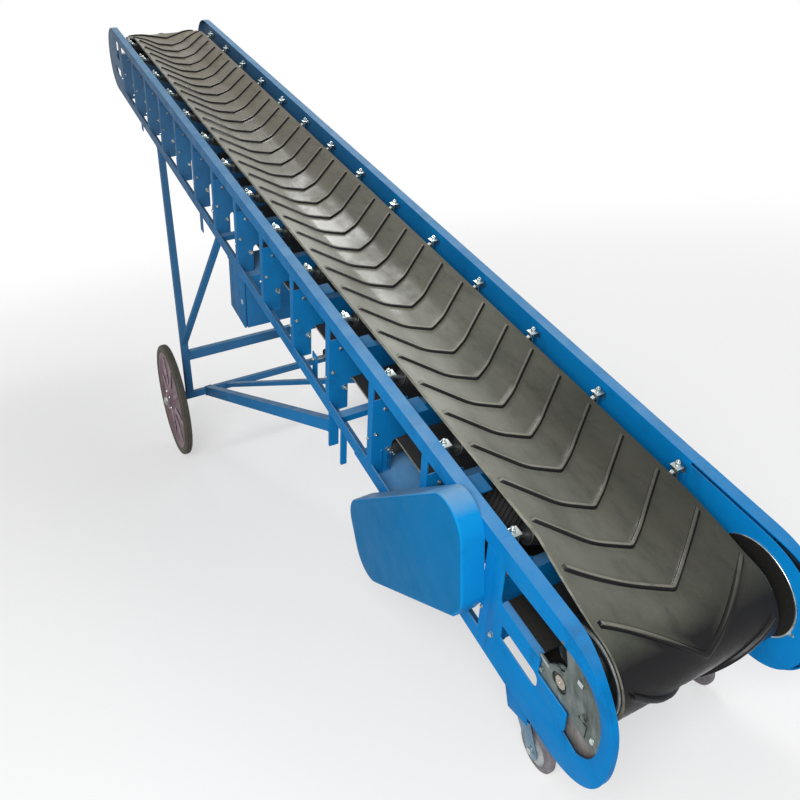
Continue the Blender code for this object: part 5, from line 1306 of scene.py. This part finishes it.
axle = Workpiece("axle_beam_turned")
beam = broken((AXLE_X - 0.019, AXLE_X + 0.019), (-AXLE_HALF, AXLE_HALF),
              (AXLE_Z - 0.019, AXLE_Z + 0.019), 0.003, 3)
axle.add(beam, enamel)
collar = [(0, 0), (0.028, 0), (0.0295, 0.0015), (0.0295, 0.0262), (0.028, 0.0274), (0, 0.0274)]
stub = [(0.0158, 0), (0.0158, 0.123), (0.0142, 0.125), (0.004, 0.125), (0, 0.121)]
for side in (1, -1):
    out = (0, side, 0)
    axle.add(lathed((AXLE_X, side * AXLE_HALF, AXLE_Z), out, collar, 28), zinc)
    axle.add(lathed((AXLE_X, side * (AXLE_HALF - 0.0005), AXLE_Z), out, stub, 24), ground_steel)
    hex_fixing(axle, zinc, (AXLE_X, side * 0.7487, AXLE_Z), out, 0.046, 0.0100, 0.0)
    axle.add(lathed((AXLE_X - 0.026, side * 0.7620, AXLE_Z), (1, 0, 0), rod(0.0022, 0.052), 8), zinc)
axle.mount("chassis", "blue_paint", "axle_beam", at=Matrix.Identity(4))


# Road wheels
# Tall slim cart wheels: a dished steel disc with pressed ribs and a rolled rim, in a dull maroon enamel,
# bolted round its hub. A narrow solid rubber tyre is stretched on, brown with dried mud.

WHEEL_V = 0.708
RIBS = 8
HUB_BOLTS = 5

wheel_enamel, tree, shader = node_tree("wheel_enamel")
patches = spread(tree, grain(tree, 6.0, 6.0), 0.3, 0.7)
coat = blend_colours(tree, patches, (0.075, 0.028, 0.050, 1), (0.150, 0.070, 0.100, 1))
mud = spread(tree, grain(tree, 14.0, 7.0, 0.65), 0.50, 0.68, 0.0, 0.75)
coat = blend_colours(tree, mud, coat, (0.190, 0.150, 0.120, 1))
tree.links.new(coat, shader.inputs["Base Color"])
tree.links.new(spread(tree, mud, 0.0, 0.7, 0.42, 0.75), shader.inputs["Roughness"])
ripple(tree, shader, grain(tree, 90.0, 5.0), 0.3, 0.0010)

# Painted highlight: the pressed ribs carry a paler copy of the maroon enamel.
rib_highlight_enamel, shader = make_mottled("wheel_rib_highlight_enamel", (30.0, 6.0, 0.65), (0.330, 0.230, 0.280, 1),
                                  (0.130, 0.060, 0.090, 1), (0.40, 0.62), (0.35, 0.60), (0.40, 0.62))
tyre_rubber, shader = make_mottled("tyre_rubber", (12.0, 7.0, 0.65), (0.028, 0.026, 0.019, 1),
                                   (0.076, 0.068, 0.050, 1), (0.36, 0.66), (0.60, 0.90), (0.36, 0.66),
                                   (110.0, 5.0, 0.4, 0.0012))


def pressed_rib(side, way, start, end):
    """A low rib on one face of a disc, from its hub to its rim."""
    shape = bmesh.new()
    rings = []
    for share, wide in ((0, 0.010), (0.06, 0.016), (0.94, 0.011), (1, 0.006)):
        spot = start.lerp(end, share)
        rise = side * way * (0.0042 if 0 < share < 1 else 0.0005)
        section = ((-wide, 0, 0), (-wide * 0.55, rise, 0), (wide * 0.55, rise, 0), (wide, 0, 0))
        rings.append([shape.verts.new(spot + Vector(p)) for p in section])
    for one, other in zip(rings, rings[1:]):
        for j in range(3):
            shape.faces.new((one[j], one[j + 1], other[j + 1], other[j]))
    for ring in (rings[0], rings[-1]):
        shape.faces.new(ring)
    bmesh.ops.recalc_face_normals(shape, faces=shape.faces)
    if sum(f.normal.y * way * side * f.calc_area() for f in shape.faces) < 0:
        bmesh.ops.reverse_faces(shape, faces=shape.faces)
    return shape


disc = [(0.0167, -0.0395), (0.038, -0.0395), (0.0425, -0.0375), (0.0440, -0.034), (0.050, -0.026),
        (0.075, -0.010), (0.100, -0.001), (0.118, 0.0025), (0.180, -0.001), (0.235, -0.0035),
        (0.258, -0.0045), (0.266, -0.0070), (0.272, -0.0130), (0.280, -0.0160), (0.288, -0.0165),
        (0.2925, -0.0185), (0.2925, 0.0185), (0.288, 0.0165), (0.280, 0.0160), (0.272, 0.0130),
        (0.266, 0.0075), (0.258, 0.0045), (0.235, 0.0040), (0.180, 0.0055), (0.118, 0.0095), (0.100, 0.0110),
        (0.075, 0.0195), (0.050, 0.0325), (0.0440, 0.037), (0.0425, 0.0385), (0.038, 0.0395),
        (0.0167, 0.0395)]
half_tread = [(0.2935, -0.0165), (0.2960, -0.0195), (0.3050, -0.0222), (0.3180, -0.0228), (0.3235, -0.0222),
              (0.3290, -0.0190), (0.3330, -0.0140), (0.3342, -0.0100), (0.3345, -0.0072), (0.3312, -0.0062),
              (0.3312, -0.0042), (0.3346, -0.0032)]
tread = half_tread + [(0.3348, 0.0)] + [(r, -at) for r, at in reversed(half_tread)]

for name, side in (("left", 1), ("right", -1)):
    centre = Vector((AXLE_X, side * WHEEL_V, AXLE_Z))
    out = (0, side, 0)
    wheel = Workpiece(f"road_wheel_pressing_{name}")
    wheel.add(lathed(centre, out, disc + [disc[0]], 72), wheel_enamel)
    for k in range(RIBS):
        turn = Matrix.Translation(centre) @ Matrix.Rotation(math.tau * (k + 0.5) / RIBS, 4, "Y")
        for way, hub_v, rim_v in ((1, 0.0150, 0.0062), (-1, -0.0105, -0.0062)):
            rib = pressed_rib(side, way, Vector((0, side * hub_v, 0.085)), Vector((0, side * rim_v, 0.262)))
            wheel.add(rib, rib_highlight_enamel, turn)
    for k in range(HUB_BOLTS):
        turn = math.tau * k / HUB_BOLTS
        at = centre + Vector((0.056 * math.cos(turn), side * 0.0285, 0.056 * math.sin(turn)))
        hex_fixing(wheel, zinc, at, out, 0.011, 0.005, 0.0)
    wheel.mount(f"road_wheel_{name}", "wheel_paint", f"wheel_{name}", at=Matrix.Identity(4))

    tyre = Workpiece(f"road_tyre_{name}")
    tyre.add(lathed(centre, out, tread + [tread[0]], 112), tyre_rubber)
    tyre.mount(f"road_wheel_{name}", "tyre_rubber", f"tyre_{name}", at=Matrix.Identity(4))


# Tail casters
# Swivel casters bolted under a welded wedge, so that they stand upright: a zinc plated pressed fork with
# a ball race, and a grey rubber tread moulded on a pale disc.

CASTER_X = DECK_FOOT_X + 0.018
CASTER_V = 0.320
CASTER_R = 0.075
WHEEL_X = CASTER_X - 0.030
BRACKET_BACK, BRACKET_FRONT = CASTER_X - 0.050, CASTER_X + 0.050
BRACKET_PLATE = (0.2000, 0.2050)
BRACKET_FACE = 0.3600
BRACKET_SHEET = 0.0050
CROWN_TOP = 0.1700
CHEEK_OUT = 0.0279
CHEEK_SHEET = 0.0038
CHEEK_END_R = 0.030
rail_foot = DECK @ Vector((0, 0, FRAME_FOOT + 0.0004))


def under_rail(x):
    """Height of the bottom rail's underside."""
    return rail_foot.z + (x - rail_foot.x) * math.tan(SLOPE)


for name, side in (("left", 1), ("right", -1)):
    bracket = Workpiece(f"caster_bracket_folded_{name}")
    turn = Matrix.Scale(side, 4, (0, 1, 0))
    low, top = BRACKET_PLATE
    inside = top - 0.0008
    bracket.add(broken((BRACKET_BACK, BRACKET_FRONT), (0.2700, BRACKET_FACE + 0.0005), BRACKET_PLATE, 0.0012),
                enamel, turn)
    skirt = [(BRACKET_BACK, 0.1790), (BRACKET_FRONT, 0.1790), (BRACKET_FRONT, under_rail(BRACKET_FRONT)),
             (BRACKET_BACK, under_rail(BRACKET_BACK))]
    bracket.add(cut_plate(skirt, 1, BRACKET_FACE, BRACKET_FACE + 0.0048), enamel, turn)
    for x in (BRACKET_BACK, BRACKET_FRONT - BRACKET_SHEET):
        high = under_rail(x)
        web = [(0.2760, inside), (BRACKET_FACE + 0.0006, inside), (BRACKET_FACE + 0.0006, high),
               (0.3400, high), (0.2760, 0.2180)]
        bracket.add(cut_plate(web, 0, x, x + BRACKET_SHEET), enamel, turn)
    inner_corner = [(x, BRACKET_FACE - 0.0004, top + 0.0006) for x in (BRACKET_BACK, BRACKET_FRONT)]
    bracket.add(bead(inner_corner, 0.0022), enamel, turn)
    bracket.mount("chassis", "blue_paint", f"caster_bracket_{name}", at=Matrix.Identity(4))

fork_zinc = make_zinc("fork_zinc", (0.22, 0.34, 0.45, 1), (0.12, 0.20, 0.28, 1), (0.06, 0.09, 0.12, 1),
                      0.22, 0.42)
caster_rubber, shader = make_mottled("caster_rubber", (40.0, 6.0, 0.65), (0.085, 0.078, 0.086, 1),
                                     (0.180, 0.166, 0.180, 1), (0.35, 0.66), (0.50, 0.75), (0.35, 0.66),
                                     (200.0, 3.0, 0.25, 0.0005))
caster_disc, shader = make_mottled("caster_disc", (50.0, 5.0), (0.300, 0.320, 0.330, 1),
                                   (0.470, 0.490, 0.490, 1), (0.3, 0.7), (0.32, 0.50))

race = [(0, 0), (0.0335, 0), (0.0345, 0.002), (0.0345, 0.009), (0.030, 0.0105), (0.030, 0.0125),
        (0.0345, 0.014), (0.0345, 0.0235), (0.033, 0.0258), (0, 0.0258)]
cheek = [(CASTER_X + 0.0350, CROWN_TOP - 0.0010), (CASTER_X - 0.0390, CROWN_TOP - 0.0010)]
for k in range(17):
    angle = math.radians(172 + 196 * k / 16)
    cheek.append((WHEEL_X + CHEEK_END_R * math.cos(angle), CASTER_R + CHEEK_END_R * math.sin(angle)))
hub = [(0.0086, -0.0232), (0.0150, -0.0232), (0.0165, -0.0215), (0.0175, -0.0120), (0.022, -0.0095),
       (0.042, -0.0090), (0.046, -0.0100), (0.0485, -0.0140), (0.0500, -0.0160)]
half_band = [(0.0500, -0.0160), (0.0535, -0.0176), (0.0600, -0.0172), (0.0690, -0.0140), (0.0738, -0.0090),
             (CASTER_R - 0.0002, -0.0030)]
band = half_band + [(r, -at) for r, at in reversed(half_band)]

for name, side in (("left", 1), ("right", -1)):
    middle = side * CASTER_V
    fork = Workpiece(f"caster_fork_pressing_{name}")
    fork.add(lathed((CASTER_X, middle, CROWN_TOP - 0.0005), UP, race, 36), fork_zinc)
    crown = broken((CASTER_X - 0.040, CASTER_X + 0.036), (middle - 0.0278, middle + 0.0278),
                   (CROWN_TOP - 0.0078, CROWN_TOP), 0.003, 3)
    fork.add(crown, fork_zinc)
    for way in (1, -1):
        across = sorted((middle + way * (CHEEK_OUT - CHEEK_SHEET), middle + way * CHEEK_OUT))
        fork.add(cut_plate(cheek, 1, *across, 0.0009), fork_zinc)
        nut_at = (WHEEL_X, middle + way * CHEEK_OUT, CASTER_R)
        hex_fixing(fork, zinc, nut_at, (0, way, 0), 0.019, 0.007, 0.003 if way < 0 else 0.0)
    fork.add(lathed((WHEEL_X, middle - 0.027, CASTER_R), ACROSS, rod(0.0078, 0.054), 20), zinc)
    fork.mount(f"caster_fork_{name}", "zinc_plate", f"caster_fork_{name}", at=Matrix.Identity(4))

    roll = Workpiece(f"caster_wheel_moulded_{name}")
    for way in (1, -1):
        roll.add(lathed((WHEEL_X, middle, CASTER_R), (0, way, 0), hub, 48), caster_disc)
    roll.add(lathed((WHEEL_X, middle, CASTER_R), ACROSS, band, 48), caster_rubber)
    roll.mount(f"caster_wheel_{name}", "caster_rubber", f"caster_wheel_{name}", at=Matrix.Identity(4))

bracket_bolts = Workpiece("caster_bracket_bolts")
for side in (1, -1):
    for x in (CASTER_X - 0.036, CASTER_X + 0.036):
        for v in (0.290, 0.350):
            hex_fixing(bracket_bolts, zinc, (x, side * v, BRACKET_PLATE[1]), UP, 0.012, 0.006, 0.003)
bracket_bolts.mount("chassis", "zinc_plate", at=Matrix.Identity(4))


# The studio
# A plain pale floor that runs out into white, with two soft lamps overhead. The camera stands off the
# tail, on the left, and looks down on the belt's lower end.

FLOOR_TONE = 0.86
WHITE = (1, 1, 1, 1)
floor_mesh = bmesh.new()
bmesh.ops.create_grid(floor_mesh, x_segments=1, y_segments=1, size=60)
floor_data = bpy.data.meshes.new("floor")
floor_mesh.to_mesh(floor_data)
floor_mesh.free()
floor = bpy.data.objects.new("floor", floor_data)
bpy.context.scene.collection.objects.link(floor)
floor_paint, tree, shader = node_tree("floor_paint")
tone = blend_colours(tree, grain(tree, 0.8, 3.0), (FLOOR_TONE, FLOOR_TONE, FLOOR_TONE, 1),
                     (0.87, 0.87, 0.87, 1))
tree.links.new(tone, shader.inputs["Base Color"])
shader.inputs["Roughness"].default_value = 0.9
shader.inputs["Specular IOR Level"].default_value = 0.1


def seen_plainly(tree):
    """1 where a surface is seen by the camera, in a reflection or through glass."""
    path = tree.nodes.new("ShaderNodeLightPath")
    total = path.outputs["Is Camera Ray"]
    for name in ("Is Glossy Ray", "Is Transmission Ray"):
        add = tree.nodes.new("ShaderNodeMath")
        add.operation = "MAXIMUM"
        tree.links.new(total, add.inputs[0])
        tree.links.new(path.outputs[name], add.inputs[1])
        total = add.outputs["Value"]
    return total


# The floor is half lit and half plain white under the object, and runs out to all white
place = tree.nodes.new("ShaderNodeTexCoord")
reach = tree.nodes.new("ShaderNodeVectorMath")
reach.operation = "LENGTH"
tree.links.new(place.outputs["Object"], reach.inputs[0])
fade = tree.nodes.new("ShaderNodeMapRange")
fade.interpolation_type = "SMOOTHSTEP"
for socket, value in (("From Min", 1.0), ("From Max", 8.5), ("To Min", 0.5)):
    fade.inputs[socket].default_value = value
tree.links.new(reach.outputs["Value"], fade.inputs["Value"])
glow = tree.nodes.new("ShaderNodeEmission")
glow.inputs["Color"].default_value = WHITE
merge = tree.nodes.new("ShaderNodeMixShader")
tree.links.new(times(tree, fade.outputs["Result"], seen_plainly(tree)), merge.inputs["Fac"])
tree.links.new(shader.outputs["BSDF"], merge.inputs[1])
tree.links.new(glow.outputs["Emission"], merge.inputs[2])
tree.links.new(merge.outputs["Shader"], tree.nodes["Material Output"].inputs["Surface"])
floor_data.materials.append(floor_paint)

CAMERA_AT = (-4.434, 1.488, 2.108)
CAMERA_TURN = (80.152, 6.934, -116.604)
eye = bpy.data.cameras.new("camera")
eye.lens = 38.55
eye.shift_y = -0.225
eye.clip_end = 200
camera = bpy.data.objects.new("camera", eye)
bpy.context.scene.collection.objects.link(camera)
camera.location = CAMERA_AT
camera.rotation_euler = [math.radians(a) for a in CAMERA_TURN]
bpy.context.scene.camera = camera

world = bpy.data.worlds.new("studio")
bpy.context.scene.world = world
world.use_nodes = True
tree = world.node_tree
soft = tree.nodes["Background"]
soft.inputs["Color"].default_value = WHITE
soft.inputs["Strength"].default_value = 0.34
plain = tree.nodes.new("ShaderNodeBackground")
plain.inputs["Color"].default_value = WHITE
plain.inputs["Strength"].default_value = 1.0
merge = tree.nodes.new("ShaderNodeMixShader")
tree.links.new(seen_plainly(tree), merge.inputs["Fac"])
tree.links.new(soft.outputs["Background"], merge.inputs[1])
tree.links.new(plain.outputs["Background"], merge.inputs[2])
tree.links.new(merge.outputs["Shader"], tree.nodes["World Output"].inputs["Surface"])


def lamp(name, at, to, size, power):
    """A soft square lamp, aimed at a point."""
    light = bpy.data.lights.new(name, "AREA")
    light.size = size
    light.energy = power
    thing = bpy.data.objects.new(name, light)
    bpy.context.scene.collection.objects.link(thing)
    thing.location = at
    thing.rotation_euler = (Vector(to) - Vector(at)).to_track_quat("-Z", "Y").to_euler()


lamp("key", (-6.5, 3.6, 4.2), (-0.5, 0, 1.0), 3.5, 450)
lamp("window", (2.6, -2.3, 6.0), (-0.6, 0, 1.3), 2.2, 170)
bpy.context.scene.view_settings.view_transform = "Standard"
